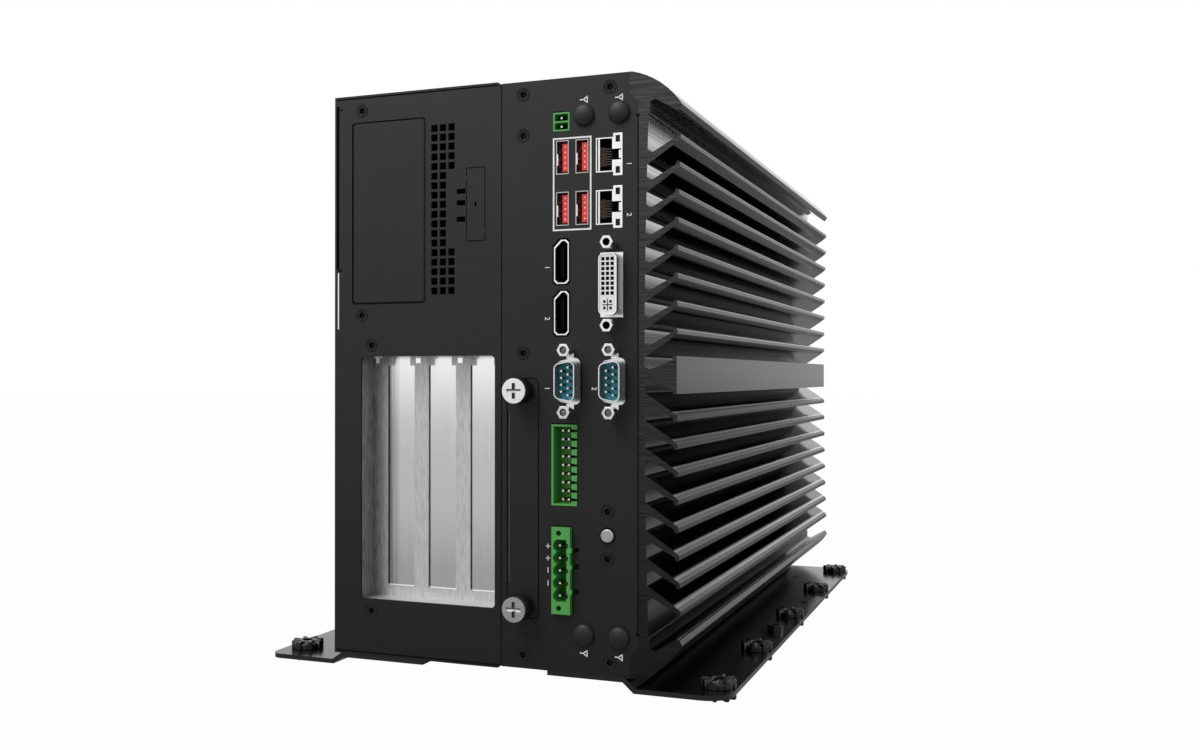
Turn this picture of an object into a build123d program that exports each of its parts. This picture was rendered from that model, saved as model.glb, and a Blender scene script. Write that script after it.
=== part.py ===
from build123d import *

import os
from math import atan, radians, tan

os.makedirs("parts", exist_ok=True)

# A fanless box computer with a card cage. It stands on its side on two damper brackets.
# X runs right to the heatsink, Y runs back from the front panels and Z runs up.
# The origin is midway between the four corner dampers, on the plane that they stand on.

# Body
chassis_height = 241.6
drops_height = 241.6
chassis_depth = 345.0
io_width = 59.7
cage_width = 80.9
chassis_wall = 2.0
io_plate = 2.0
cage_sheet = 1.2
cover_sheet = 0.9
cover_right_inset = 61.7
side_plate_flange = 7.0
cage_edge_gap = 0.7
cover_setback = 0.2
chassis_lip = 9.0
panel_gap = 0.4
flange_depth = 12.0
screw_clearance = 0.05

# Mounting brackets and their rubber dampers
damper_row_spacing = 194.0
damper_inset = 28.9
damper_reach = 146.0
damper_step = 78.0
bracket_length = 322.0
bracket_setback = 0.5
bracket_plate = 2.0
bracket_joggle = 4.1
bracket_bend_run = 4.6
right_lip = 7.6
left_lip = 9.4
right_seat_width = 33.4
left_seat_width = 40.4
left_bend_inset = 137.4
right_bend_inset = 6.0
right_corner = 11.0
left_corner = 5.0
plain_hole_offset = 39.0
small_hole_inset = 9.3
small_hole_offsets = (-114.0, -40.0, 43.0, 117.0)
small_hole_radius = 2.0
damper_foot = 2.5
damper_rise = 3.7
damper_radius = 7.2
damper_hub_radius = 3.4
damper_neck_radius = 4.6
damper_bore_radius = 2.2
damper_rib = 1.5
damper_ribs = 8
damper_sides = 16
bush_radius = 3.8
bush_bore_radius = 2.0
bush_neck_radius = 2.9
bush_height = 3.0
bush_offset = -36.5
right_screw_insets = (14.8,)
left_screw_insets = (122.0, 102.0)
pan_head_radius = 2.8
pan_head_height = 1.3
bracket_screw_radius = 1.5
bracket_screw_length = 7.0

# Heatsink section, outwards from the seam and down from the middle of the height
floor_reach = 2.6
floor_bow = 2.3
fin_pitch = 10.93
fin_count = 8
fin_reach = 13.5
fin_tip_above = 7.5
fin_top_slope = 28.5
fin_under_slope = 33.2
fin_top_root = 7.8
fin_under_root = 11.4
fin_fillet = 2.2
tip_bead = 0.85
tip_facet = 2.2
tip_cut = 3.1
block_half_face = 7.5
block_reach = 13.3
block_waist = 2.2
arm_reach = 18.1
arm_drop = 14.7
arm_shoulder_reach = 7.5
arm_shoulder_drop = 4.2
arm_lip = 2.0
arm_root = 10.3
arm_under_slope = 31.0
lobe_inset = 3.6
lobe_height = 8.6

# Screws
screw_head_radius = 3.0
screw_radius = 1.5
screw_sides = 12
screw_length = 7.0
cage_screw_length = 3.0
screw_sink_angle = 82.0
side_screw_margin = 5.4
io_left_screw_inset = 50.0
io_right_screw_inset = 12.0
lan_screw_drop = 22.35
middle_screw_drop = 111.9
right_screw_inset = 13.0
button_screw_spacing = 19.0

# Cage front: window, hatch, vents, knock-out and edge slots
window_left_inset = 127.3
window_right_inset = 62.9
window_top_drop = 112.75
window_bottom_drop = 217.9
window_corner = 2.0
hatch_left_inset = 131.8
hatch_right_inset = 95.55
hatch_top_drop = 10.9
hatch_bottom_drop = 90.2
hatch_gap = 0.45
hatch_corner = 1.6
hatch_notch = 1.2
hatch_bevel = 0.5
hatch_side_lap = 2.4
hatch_end_lap = 7.5
hatch_sheet = 1.0
vent_hole = 3.0
vent_pitch = 4.06
vent_rows = 18
vent_short_rows = 5
vent_left_inset = 91.3
vent_top_drop = 16.1
knockout_left_inset = 76.3
knockout_right_inset = 67.4
knockout_top_drop = 33.8
knockout_bottom_drop = 64.75
knockout_slit = 0.35
knockout_bridge = 1.3
knockout_bridge_drop = 4.3
pry_width = 1.0
pry_height = 2.1
cable_hole_width = 4.1
cable_hole_height = 2.2
cable_hole_drops = (43.5, 48.35, 55.25)
edge_slot_width = 1.4
edge_slot_top_drop = 3.0
edge_slot_bottom_drop = 74.7
cage_left_screw_inset = 126.75
cage_hatch_screw_drops = (6.1, 95.0)
cage_window_screw_inset = 121.9
cage_window_screw_drops = (108.0, 223.0)

# Card slots, recessed behind the window
slot_recess = 11.4
slot_pitch = 20.32
slot_count = 3
slot_first_inset = 113.9
slot_opening = 13.4
slot_sheet = 1.0
slot_tab_width = 11.2
slot_tab_height = 3.9
slot_bottom_margin = 4.4
slot_cover_width = 18.4
slot_cover_plate = 0.9
slot_ear_left = 11.0
slot_ear_right = 8.5
slot_screw_radius = 1.5
slot_screw_head_radius = 2.9
slot_screw_front = 6.0
slot_boss_radius = 2.2
slot_boss_height = 0.9
slot_screw_offset = 8.5
slot_screw_head = 1.8
recess_margin = 0.15
recess_flange = 8.0

# Front panel connectors: insets from the seam and drops from the top
cutout_clearance = 0.2
board_plate = 1.6
board_margin = 12.0
board_length = 240.0
board_setback = 3.0
foot_setback = 6.0
usb_insets = (32.5, 24.0)
usb_drops = (32.35, 53.25)
usb_width = 5.6
usb_height = 13.8
usb_shell = 0.4
usb_depth = 14.0
usb_tongue_width = 2.3
usb_tongue_height = 11.2
usb_tongue_setback = 0.6
lan_inset = 12.3
lan_drops = (32.5, 53.5)
lan_body_width = 7.4
lan_body_height = 13.9
lan_strip_width = 3.9
lan_strip_height = 17.0
lan_shell = 0.45
lan_depth = 18.0
lan_mouth_depth = 11.0
lan_led_height = 2.7
lan_led_width = 1.9
lan_latch_height = 4.4
lan_latch_width = 2.9
dp_inset = 33.0
dp_drops = (74.75, 95.65)
dp_width = 6.5
dp_height = 17.9
dp_shell = 0.5
dp_key = 3.0
dp_corner = 1.2
dp_surround = 0.45
dp_depth = 12.0
dp_tongue_width = 1.6
dvi_inset = 11.1
dvi_drop = 84.7
dvi_width = 7.7
dvi_height = 24.8
dvi_reach = 5.5
dvi_shell = 0.5
dvi_base_width = 9.6
dvi_base_height = 25.9
dvi_base = 0.8
dvi_corner = 2.4
dvi_screw_spacing = 33.0
dvi_pitch = 1.95
dvi_hole = 1.1
dvi_body_depth = 8.0
com_insets = (29.5, 10.3)
com_drop = 123.37
com_screw_spacing = 24.99
com_width = 8.9
com_height = 17.0
com_taper = 10.0
com_corner = 2.5
com_reach = 6.0
com_shell = 0.45
com_base_width = 10.4
com_base_height = 19.8
com_base = 0.9
com_flange_width = 12.4
com_flange_height = 30.8
com_flange = 0.6
dvi_flange_height = 38.0
com_slot_width = 3.6
com_face_setback = 4.6
com_pin_pitch = 2.77
com_row_pitch = 2.84
com_pin_radius = 0.5
com_pin_sides = 6
com_body_depth = 8.0
jackscrew_flats = 4.9
jackscrew_reach = 7.1
jackscrew_bore_radius = 1.5
jackscrew_bore_depth = 6.0
jackscrew_stud_radius = 1.4
jackscrew_stud = 8.0
terminal_inset = 33.0
terminal_drop = 17.8
terminal_width = 7.2
terminal_pitch = 3.5
terminal_wall = 0.65
header_depth = 11.0
header_floor = 2.5
dio_inset = 31.7
dio_gap = 2.2
dio_width = 11.2
dio_rows = 9
dio_pitch = 3.5
dio_end_wall = 2.5
dio_left_wall = 0.9
dio_right_wall = 2.4
dio_top_wall = 0.8
dio_key_height = 1.3
dio_column_gap = 2.54
dio_pin_inset = 31.35
dc_inset = 32.4
dc_drop = 200.2
dc_width = 8.1
dc_height = 35.2
dc_reach = 2.2
dc_pitch = 5.08
dc_poles = 5
dc_cavity_width = 5.9
dc_cavity_height = 25.4
dc_left_wall = 0.7
dc_key_height = 1.8
dc_screw_spacing = 30.4
dc_screw_hole_radius = 1.15
dc_screw_inset = 33.3
dc_tab = 0.7
dc_tab_height = 1.9
dc_slot_width = 3.0
dc_slot_height = 2.0
dc_slot_drops = (191.75, 198.5, 208.7)
pin_side = 0.8
pin_setback = 1.2
pin_tail = 3.0
plug_radius = 4.5
plug_rise = 2.6
plug_stem_radius = 3.0
plug_insets = (23.15, 8.1)
plug_margin = 15.85
button_inset = 13.0
button_drop = 185.3
button_radius = 2.6
button_gap = 0.12
button_reach = 1.0
button_travel = 0.8
button_cap = 4.0
button_collar_radius = 3.4
button_collar_depth = 9.0

# Drive tray
tray_inset = 50.15
tray_width = 13.8
tray_top_drop = 122.4
tray_height = 98.3
tray_corner = 3.0
tray_gap = 0.4
tray_plate = 2.0
tray_sheet = 1.0
tray_slit_width = 0.9
tray_slit_length = 71.6
drive_height = 69.85
drive_length = 100.45
drive_thickness = 7.0
drive_setback = 5.0
bay_sheet = 1.0
bay_gap = 0.5
bay_ear = 3.0
bay_reach = 13.5
bay_ear_end = 4.2
bay_length = 112.0
thumb_margin = 4.85
thumb_knob_radius = 5.2
thumb_knob_length = 7.8
thumb_gap = 0.15
thumb_head_radius = 5.1
thumb_head = 1.3
thumb_shank_radius = 2.0
thumb_running_gap = 0.06
thumb_shank_length = 8.0
thumb_recess_span = 6.4
thumb_recess_width = 1.5
thumb_recess_depth = 0.9

# Boards inside
cpu_side = 45.0
cpu_back = 110.0
cpu_height_share = 0.5
memory_length = 68.0
memory_width = 30.0
memory_thickness = 3.8
memory_pitch = 36.0
memory_back = 150.0
backplane_plate = 1.6
backplane_rise = 13.0
backplane_front = 24.0
backplane_back_margin = 20.0
backplane_side_gap = 2.0
standoff_radius = 3.0
standoff_sides = 6
standoff_inset = 8.0
card_socket_width = 7.5
card_socket_height = 11.2
card_socket_length = 89.0
card_socket_front = 58.0
card_groove_width = 1.8
card_groove_depth = 7.5

# Places that follow from the sizes above
seam_x = damper_row_spacing / 2 - damper_inset
front_y = -(bracket_setback + bracket_length / 2)
back_y = front_y + chassis_depth
flange_top = damper_foot + bracket_plate
floor_z = damper_foot + bracket_joggle + bracket_plate
top_z = floor_z + chassis_height
mid_z = floor_z + chassis_height / 2
io_left_x = seam_x - io_width
cage_right_x = io_left_x - panel_gap
cage_left_x = io_left_x - cage_width


def left_of_seam(inset):
    return seam_x - inset


def below_top(drop):
    """A height below the top. A drop keeps its share of the height that drops are given for."""
    return top_z - drop * chassis_height / drops_height


def front_plane(setback=0.0):
    """A plane that faces the front, with its own X to the right and its own Y up."""
    return Plane.XZ.offset(-(front_y + setback))


def back_plane():
    """The plane of the rear panels. It faces back, so its own X runs to the left."""
    return Plane(origin=(0, back_y, 0), x_dir=(-1, 0, 0), z_dir=(0, 1, 0))


# Heatsink section
def floor_x(z):
    """The floor between the fins is bowed: it stands out most at the top and bottom."""
    share = (z - mid_z) / (chassis_height / 2)
    return seam_x + floor_reach + floor_bow * share**2


def fin_outline(tip_z, side):
    """One slanted fin. Its side is 1 above the middle and -1 below it."""
    x = floor_x(tip_z)
    top_run = fin_reach - 2 * tip_bead
    top_end = fin_top_root - top_run * tan(radians(fin_top_slope))
    under_run = fin_reach - tip_cut
    under_end = fin_under_root - under_run * tan(radians(fin_under_slope))
    root = -fin_fillet
    with BuildLine() as outline:
        Polyline(
            (x + fin_fillet, tip_z - side * (fin_top_root - fin_fillet * tan(radians(fin_top_slope)))),
            (x + top_run, tip_z - side * top_end),
            (x + top_run, tip_z - side * tip_bead),
        )
        ThreePointArc(
            (x + top_run, tip_z - side * tip_bead),
            (x + fin_reach - tip_bead, tip_z),
            (x + fin_reach, tip_z - side * tip_bead),
        )
        Polyline(
            (x + fin_reach, tip_z - side * tip_bead),
            (x + fin_reach, tip_z - side * tip_facet),
            (x + under_run, tip_z - side * under_end),
            (x, tip_z - side * fin_under_root),
            (x + root, tip_z - side * fin_under_root),
            (x + root, tip_z - side * (fin_top_root - fin_fillet)),
            (x, tip_z - side * (fin_top_root - fin_fillet)),
        )
        ThreePointArc(
            (x, tip_z - side * (fin_top_root - fin_fillet)),
            (
                x + fin_fillet * 0.4,
                tip_z - side * (fin_top_root - fin_fillet * 0.62),
            ),
            (x + fin_fillet, tip_z - side * (fin_top_root - fin_fillet * tan(radians(fin_top_slope)))),
        )
    return outline


def arm_outline(side):
    """The curled corner arm, from the lobe by the seam out to its lip."""
    edge_z = mid_z + side * chassis_height / 2
    x = floor_x(edge_z)
    lip_x = seam_x + arm_reach
    slope = tan(radians(arm_under_slope))
    under_z = arm_root + slope * (lip_x - arm_lip - x)
    with BuildLine() as outline:
        Line((seam_x - lobe_inset, edge_z), (seam_x - lobe_inset + 1, edge_z))
        ThreePointArc(
            (seam_x - lobe_inset + 1, edge_z),
            (seam_x + arm_shoulder_reach, edge_z - side * arm_shoulder_drop),
            (lip_x, edge_z - side * arm_drop),
        )
        Polyline(
            (lip_x, edge_z - side * arm_drop),
            (lip_x - arm_lip / 2, edge_z - side * (arm_drop + arm_lip)),
            (lip_x - arm_lip, edge_z - side * under_z),
            (x + fin_fillet, edge_z - side * (arm_root + slope * fin_fillet)),
            (x, edge_z - side * (arm_root + fin_fillet)),
            (x, edge_z - side * (arm_drop + arm_lip)),
            (seam_x, edge_z - side * (arm_drop + arm_lip)),
            (seam_x, edge_z - side * (lobe_height + lobe_inset)),
            (seam_x - lobe_inset, edge_z - side * lobe_height),
            (seam_x - lobe_inset, edge_z),
        )
    return outline


with BuildPart() as heatsink:
    with BuildSketch(front_plane()):
        with BuildLine():
            base_top = mid_z + chassis_height / 2 - arm_drop
            base_bottom = mid_z - chassis_height / 2 + arm_drop
            Polyline(
                (floor_x(base_top), base_top),
                (seam_x, base_top),
                (seam_x, base_bottom),
                (floor_x(base_bottom), base_bottom),
            )
            ThreePointArc(
                (floor_x(base_bottom), base_bottom),
                (floor_x(mid_z), mid_z),
                (floor_x(base_top), base_top),
            )
        make_face()
        for side in (1, -1):
            with BuildLine():
                add(arm_outline(side))
            make_face()
            for row in range(1, fin_count + 1):
                with BuildLine():
                    add(fin_outline(mid_z + side * (fin_tip_above + row * fin_pitch), side))
                make_face()
            with BuildLine():
                block_x = floor_x(mid_z)
                block_lip = block_reach - 2 * tip_bead
                Polyline(
                    (block_x - fin_fillet, mid_z),
                    (block_x + block_reach, mid_z),
                    (block_x + block_reach, mid_z + side * block_half_face),
                    (block_x + block_lip, mid_z + side * block_half_face),
                    (block_x + block_lip, mid_z + side * (block_half_face - 2 * tip_bead)),
                    (block_x + fin_fillet, mid_z + side * block_waist),
                    (block_x, mid_z + side * (block_waist + fin_fillet / 2)),
                    (block_x - fin_fillet, mid_z + side * (block_waist + fin_fillet / 2)),
                    close=True,
                )
            make_face()
    extrude(amount=-chassis_depth)
heatsink.part.label = "heatsink"
export_step(heatsink.part, "parts/heatsink.step")


# Body shells
rear_screw_places = [
    (x, z)
    for x in (left_of_seam(io_left_screw_inset), left_of_seam(io_right_screw_inset))
    for z in (top_z - side_screw_margin, floor_z + side_screw_margin)
]
bracket_rows = (-damper_reach, 0.0, damper_reach)
right_bracket_screws = [(left_of_seam(inset), y) for inset in right_screw_insets for y in bracket_rows]
left_bracket_screws = [(left_of_seam(inset), y) for inset in left_screw_insets for y in bracket_rows]
sink_depth = (screw_head_radius - screw_radius - screw_clearance) / tan(radians(screw_sink_angle / 2))


def sunk_shapes(places, plane, length, slack=0.0):
    """Countersunk heads on their shanks, with few sides, flush with a plane. Slack widens a shank."""
    with BuildPart() as shapes:
        for place in places:
            with BuildSketch(plane):
                with Locations(place):
                    RegularPolygon(screw_head_radius, screw_sides)
            with BuildSketch(plane.offset(-sink_depth)):
                with Locations(place):
                    RegularPolygon(screw_radius + screw_clearance, screw_sides)
            loft()
        with BuildSketch(plane):
            with Locations(*places):
                RegularPolygon(screw_radius + slack, screw_sides)
        extrude(amount=-length)
    return shapes.part


with BuildPart() as main_chassis:
    with BuildSketch(front_plane(io_plate)):
        with BuildLine():
            Polyline(
                (seam_x - lobe_inset, top_z),
                (io_left_x, top_z),
                (io_left_x, floor_z),
                (seam_x - lobe_inset, floor_z),
                (seam_x - lobe_inset, floor_z + chassis_wall),
                (io_left_x + chassis_wall, floor_z + chassis_wall),
                (io_left_x + chassis_wall, top_z - chassis_wall),
                (seam_x - lobe_inset, top_z - chassis_wall),
                close=True,
            )
        make_face()
    extrude(amount=-(chassis_depth - 2 * io_plate))
    for setback in (io_plate, chassis_depth - io_plate - chassis_wall):
        with BuildSketch(front_plane(setback)):
            for z in (top_z - chassis_lip / 2, floor_z + chassis_lip / 2):
                with Locations((io_left_x + (io_width - lobe_inset) / 2, z)):
                    Rectangle(io_width - lobe_inset, chassis_lip)
            with Locations(*rear_screw_places):
                RegularPolygon(screw_radius, screw_sides, mode=Mode.SUBTRACT)
        extrude(amount=-chassis_wall)
    with BuildSketch(Plane.XY.offset(floor_z)):
        with Locations(*right_bracket_screws):
            RegularPolygon(bracket_screw_radius, screw_sides)
    extrude(amount=chassis_wall, mode=Mode.SUBTRACT)
main_chassis.part.label = "main_chassis"
export_step(main_chassis.part, "parts/main_chassis.step")


def io_outline():
    """The main panel's outline, cut back at its right corners for the heatsink's lobes."""
    with BuildLine() as outline:
        Polyline(
            (io_left_x, floor_z),
            (seam_x - lobe_inset, floor_z),
            (seam_x - lobe_inset, floor_z + lobe_height),
            (seam_x, floor_z + lobe_height + lobe_inset),
            (seam_x, top_z - lobe_height - lobe_inset),
            (seam_x - lobe_inset, top_z - lobe_height),
            (seam_x - lobe_inset, top_z),
            (io_left_x, top_z),
            close=True,
        )
    return outline


tray_x = left_of_seam(tray_inset)
tray_z = below_top(tray_top_drop + tray_height / 2)
thumb_places = (
    (tray_x, tray_z + tray_height / 2 - thumb_margin),
    (tray_x, tray_z - tray_height / 2 + thumb_margin),
)
usb_places = [(left_of_seam(inset), below_top(drop)) for inset in usb_insets for drop in usb_drops]
lan_places = [(left_of_seam(lan_inset), below_top(drop)) for drop in lan_drops]
dp_places = [(left_of_seam(dp_inset), below_top(drop)) for drop in dp_drops]
dvi_place = (left_of_seam(dvi_inset), below_top(dvi_drop))
com_places = [(left_of_seam(inset), below_top(com_drop)) for inset in com_insets]
terminal_place = (left_of_seam(terminal_inset), below_top(terminal_drop))
dio_height = (dio_rows - 1) * dio_pitch + 2 * dio_end_wall
dio_place = (
    left_of_seam(dio_inset),
    below_top(com_drop) - com_flange_height / 2 - dio_gap - dio_height / 2,
)
dc_place = (left_of_seam(dc_inset), below_top(dc_drop))
button_place = (left_of_seam(button_inset), below_top(button_drop))
plug_places = [
    (left_of_seam(inset), z) for inset in plug_insets for z in (top_z - plug_margin, floor_z + plug_margin)
]
com_screw_places = [(x, z + side * com_screw_spacing / 2) for x, z in com_places for side in (1, -1)]
dvi_screw_places = [(dvi_place[0], dvi_place[1] + side * dvi_screw_spacing / 2) for side in (1, -1)]
io_screw_places = [
    (left_of_seam(io_left_screw_inset), top_z - side_screw_margin),
    (left_of_seam(io_left_screw_inset), floor_z + side_screw_margin),
    (left_of_seam(io_right_screw_inset), top_z - side_screw_margin),
    (left_of_seam(io_right_screw_inset), floor_z + side_screw_margin),
    (left_of_seam(io_left_screw_inset), below_top(lan_screw_drop)),
    (left_of_seam(io_left_screw_inset), below_top(middle_screw_drop)),
    (left_of_seam(right_screw_inset), below_top(button_drop) + button_screw_spacing / 2),
    (left_of_seam(right_screw_inset), below_top(button_drop) - button_screw_spacing / 2),
]


def lan_outline(place, grow=0.0):
    """A network jack seen from the front: its body and the wider strip with the lamps."""
    x, z = place
    right_x = x + (lan_body_width + lan_strip_width) / 2
    with BuildSketch() as outline:
        with Locations((right_x - lan_strip_width - lan_body_width / 2, z)):
            Rectangle(lan_body_width + 2 * grow, lan_body_height + 2 * grow)
        with Locations((right_x - lan_strip_width / 2, z)):
            Rectangle(lan_strip_width + 2 * grow, lan_strip_height + 2 * grow)
    return outline.sketch


def dp_outline(place, grow=0.0):
    """A display port: a rounded slot with its top left corner cut off as a key."""
    x, z = place
    half_width = dp_width / 2 + grow
    half_height = dp_height / 2 + grow
    with BuildSketch() as outline:
        with BuildLine():
            Polyline(
                (x - half_width, z - half_height + dp_corner),
                (x - half_width + dp_corner, z - half_height),
                (x + half_width - dp_corner, z - half_height),
                (x + half_width, z - half_height + dp_corner),
                (x + half_width, z + half_height - dp_corner),
                (x + half_width - dp_corner, z + half_height),
                (x - half_width + dp_key, z + half_height),
                (x - half_width, z + half_height - dp_key),
                close=True,
            )
        make_face()
    return outline.sketch


def com_outline(place, width, height, corner):
    """The D of a serial port, with its wide side to the right."""
    x, z = place
    shrink = width * tan(radians(com_taper))
    with BuildSketch() as outline:
        with BuildLine():
            Polyline(
                (x + width / 2, z - height / 2),
                (x + width / 2, z + height / 2),
                (x - width / 2, z + height / 2 - shrink),
                (x - width / 2, z - height / 2 + shrink),
                close=True,
            )
        make_face()
        fillet(outline.vertices(), corner)
    return outline.sketch


with BuildPart() as io_front_panel:
    with BuildSketch(front_plane()):
        with BuildLine():
            add(io_outline())
        make_face()
        with Locations((tray_x, tray_z)):
            RectangleRounded(
                tray_width + 2 * tray_gap, tray_height + 2 * tray_gap, tray_corner, mode=Mode.SUBTRACT
            )
        with Locations(*usb_places):
            Rectangle(
                usb_width + 2 * cutout_clearance, usb_height + 2 * cutout_clearance, mode=Mode.SUBTRACT
            )
        for place in lan_places:
            add(lan_outline(place, cutout_clearance), mode=Mode.SUBTRACT)
        for place in dp_places:
            add(dp_outline(place, dp_surround), mode=Mode.SUBTRACT)
        with Locations(dvi_place):
            Rectangle(
                dvi_base_width + 2 * cutout_clearance,
                dvi_base_height + 2 * cutout_clearance,
                mode=Mode.SUBTRACT,
            )
        for place in com_places:
            add(
                com_outline(
                    place,
                    com_base_width + 2 * cutout_clearance,
                    com_base_height + 2 * cutout_clearance,
                    com_corner,
                ),
                mode=Mode.SUBTRACT,
            )
        with Locations(*com_places):
            Rectangle(com_slot_width, com_screw_spacing, mode=Mode.SUBTRACT)
        with Locations(*com_screw_places, *dvi_screw_places):
            RegularPolygon(jackscrew_stud_radius + cutout_clearance, screw_sides, mode=Mode.SUBTRACT)
        with Locations(terminal_place):
            Rectangle(
                terminal_width + 2 * cutout_clearance,
                2 * terminal_pitch + terminal_wall + 2 * cutout_clearance,
                mode=Mode.SUBTRACT,
            )
        with Locations(dio_place):
            Rectangle(
                dio_width + 2 * cutout_clearance, dio_height + 2 * cutout_clearance, mode=Mode.SUBTRACT
            )
        with Locations(dc_place):
            Rectangle(dc_width + 2 * cutout_clearance, dc_height + 2 * cutout_clearance, mode=Mode.SUBTRACT)
        with Locations(
            *[
                (dc_place[0] + dc_width / 2 + dc_slot_width / 2 + cutout_clearance, below_top(drop))
                for drop in dc_slot_drops
            ]
        ):
            Rectangle(dc_slot_width, dc_slot_height, mode=Mode.SUBTRACT)
        with Locations(button_place):
            Circle(button_collar_radius, mode=Mode.SUBTRACT)
        with Locations(*plug_places):
            RegularPolygon(plug_stem_radius, screw_sides, mode=Mode.SUBTRACT)
    extrude(amount=-io_plate)
    add(sunk_shapes(io_screw_places, front_plane(), screw_length, screw_clearance), mode=Mode.SUBTRACT)
io_front_panel.part.label = "io_front_panel"
export_step(io_front_panel.part, "parts/io_front_panel.step")

with BuildPart() as io_rear_panel:
    with BuildSketch(front_plane(chassis_depth - io_plate)):
        with BuildLine():
            add(io_outline())
        make_face()
    extrude(amount=-io_plate)
    add(
        sunk_shapes([(-x, z) for x, z in rear_screw_places], back_plane(), screw_length, screw_clearance),
        mode=Mode.SUBTRACT,
    )
io_rear_panel.part.label = "io_rear_panel"
export_step(io_rear_panel.part, "parts/io_rear_panel.step")


# Connectors on the front panel
board_right_x = lan_places[0][0] - (lan_body_width + lan_strip_width) / 2
board_left_x = board_right_x - board_plate


def board_foot(from_x, z, height):
    """The part of a connector that stands on the board, seen from the front."""
    with BuildSketch() as outline:
        with Locations(((from_x + board_left_x) / 2, z)):
            Rectangle(board_left_x - from_x, height)
    return outline.sketch


with BuildPart() as usb_shells:
    with BuildSketch(front_plane(-cutout_clearance)):
        with Locations(*usb_places):
            Rectangle(usb_width, usb_height)
            Rectangle(usb_width - 2 * usb_shell, usb_height - 2 * usb_shell, mode=Mode.SUBTRACT)
    extrude(amount=-usb_depth)
    with BuildSketch(front_plane(foot_setback)):
        for x, z in usb_places[: len(usb_drops)]:
            add(board_foot(x - usb_width / 2, z, usb_height))
        with Locations(*usb_places):
            Rectangle(usb_width - 2 * usb_shell, usb_height - 2 * usb_shell, mode=Mode.SUBTRACT)
    extrude(amount=-(usb_depth - foot_setback))
usb_shells.part.label = "usb_shells"
export_step(usb_shells.part, "parts/usb_shells.step")

with BuildPart() as usb_tongues:
    with BuildSketch(front_plane(usb_depth - usb_tongue_width)):
        with Locations(*usb_places):
            Rectangle(usb_width - 2 * usb_shell, usb_height - 2 * usb_shell)
    extrude(amount=-usb_tongue_width)
    with BuildSketch(front_plane(usb_tongue_setback)):
        tongue_shift = usb_width / 2 - usb_shell - usb_tongue_setback / 2 - usb_tongue_width / 2
        with Locations(*[(x + tongue_shift, z) for x, z in usb_places]):
            Rectangle(usb_tongue_width, usb_tongue_height)
    extrude(amount=-(usb_depth - usb_tongue_setback - usb_tongue_width))
usb_tongues.part.label = "usb_tongues"
export_step(usb_tongues.part, "parts/usb_tongues.step")

with BuildPart() as lan_jacks:
    with BuildSketch(front_plane(-cutout_clearance)):
        for place in lan_places:
            add(lan_outline(place))
    extrude(amount=-lan_depth)
    strip_right = lan_places[0][0] + (lan_body_width + lan_strip_width) / 2
    body_x = strip_right - lan_strip_width - lan_body_width / 2
    lamp_x = strip_right - lan_strip_width / 2
    lamp_shift = lan_strip_height / 2 - lan_shell * 2 - lan_led_height / 2
    with BuildSketch(front_plane(-cutout_clearance)):
        with Locations(*[(body_x, z) for x, z in lan_places]):
            Rectangle(lan_body_width - 2 * lan_shell, lan_body_height - 2 * lan_shell)
        with Locations(*[(body_x + lan_body_width / 2 + lan_latch_width / 2, z) for x, z in lan_places]):
            Rectangle(lan_latch_width + 2 * lan_shell, lan_latch_height)
    extrude(amount=-lan_mouth_depth, mode=Mode.SUBTRACT)
    with BuildSketch(front_plane(-cutout_clearance)):
        with Locations(*[(lamp_x, z + side * lamp_shift) for x, z in lan_places for side in (1, -1)]):
            Rectangle(lan_led_width, lan_led_height)
    extrude(amount=-lan_led_height, mode=Mode.SUBTRACT)
lan_jacks.part.label = "lan_jacks"
export_step(lan_jacks.part, "parts/lan_jacks.step")

dp_face = 0.6
dp_tongue_height = dp_height - 2 * dp_key
with BuildPart() as dp_shells:
    with BuildSketch(front_plane()):
        for place in dp_places:
            add(dp_outline(place))
            add(dp_outline(place, -dp_shell), mode=Mode.SUBTRACT)
    extrude(amount=-(dp_depth - dp_shell))
dp_shells.part.label = "dp_shells"
export_step(dp_shells.part, "parts/dp_shells.step")

with BuildPart() as dp_bodies:
    with BuildSketch(front_plane(dp_face)):
        for place in dp_places:
            add(dp_outline(place, dp_surround - cutout_clearance / 2))
            add(dp_outline(place, 0.0), mode=Mode.SUBTRACT)
    extrude(amount=-(dp_depth - dp_face))
    with BuildSketch(front_plane(dp_depth - dp_shell)):
        for place in dp_places:
            add(dp_outline(place, dp_surround - cutout_clearance / 2))
    extrude(amount=-usb_tongue_width)
    with BuildSketch(front_plane(pin_setback)):
        with Locations(*dp_places):
            Rectangle(dp_tongue_width, dp_tongue_height)
    extrude(amount=-(dp_depth - dp_shell - pin_setback))
    with BuildSketch(front_plane(foot_setback)):
        for x, z in dp_places:
            add(board_foot(x + dp_width / 2, z, dp_height - 2 * dp_corner))
    extrude(amount=-(dp_depth - foot_setback))
dp_bodies.part.label = "dp_bodies"
export_step(dp_bodies.part, "parts/dp_bodies.step")

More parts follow.
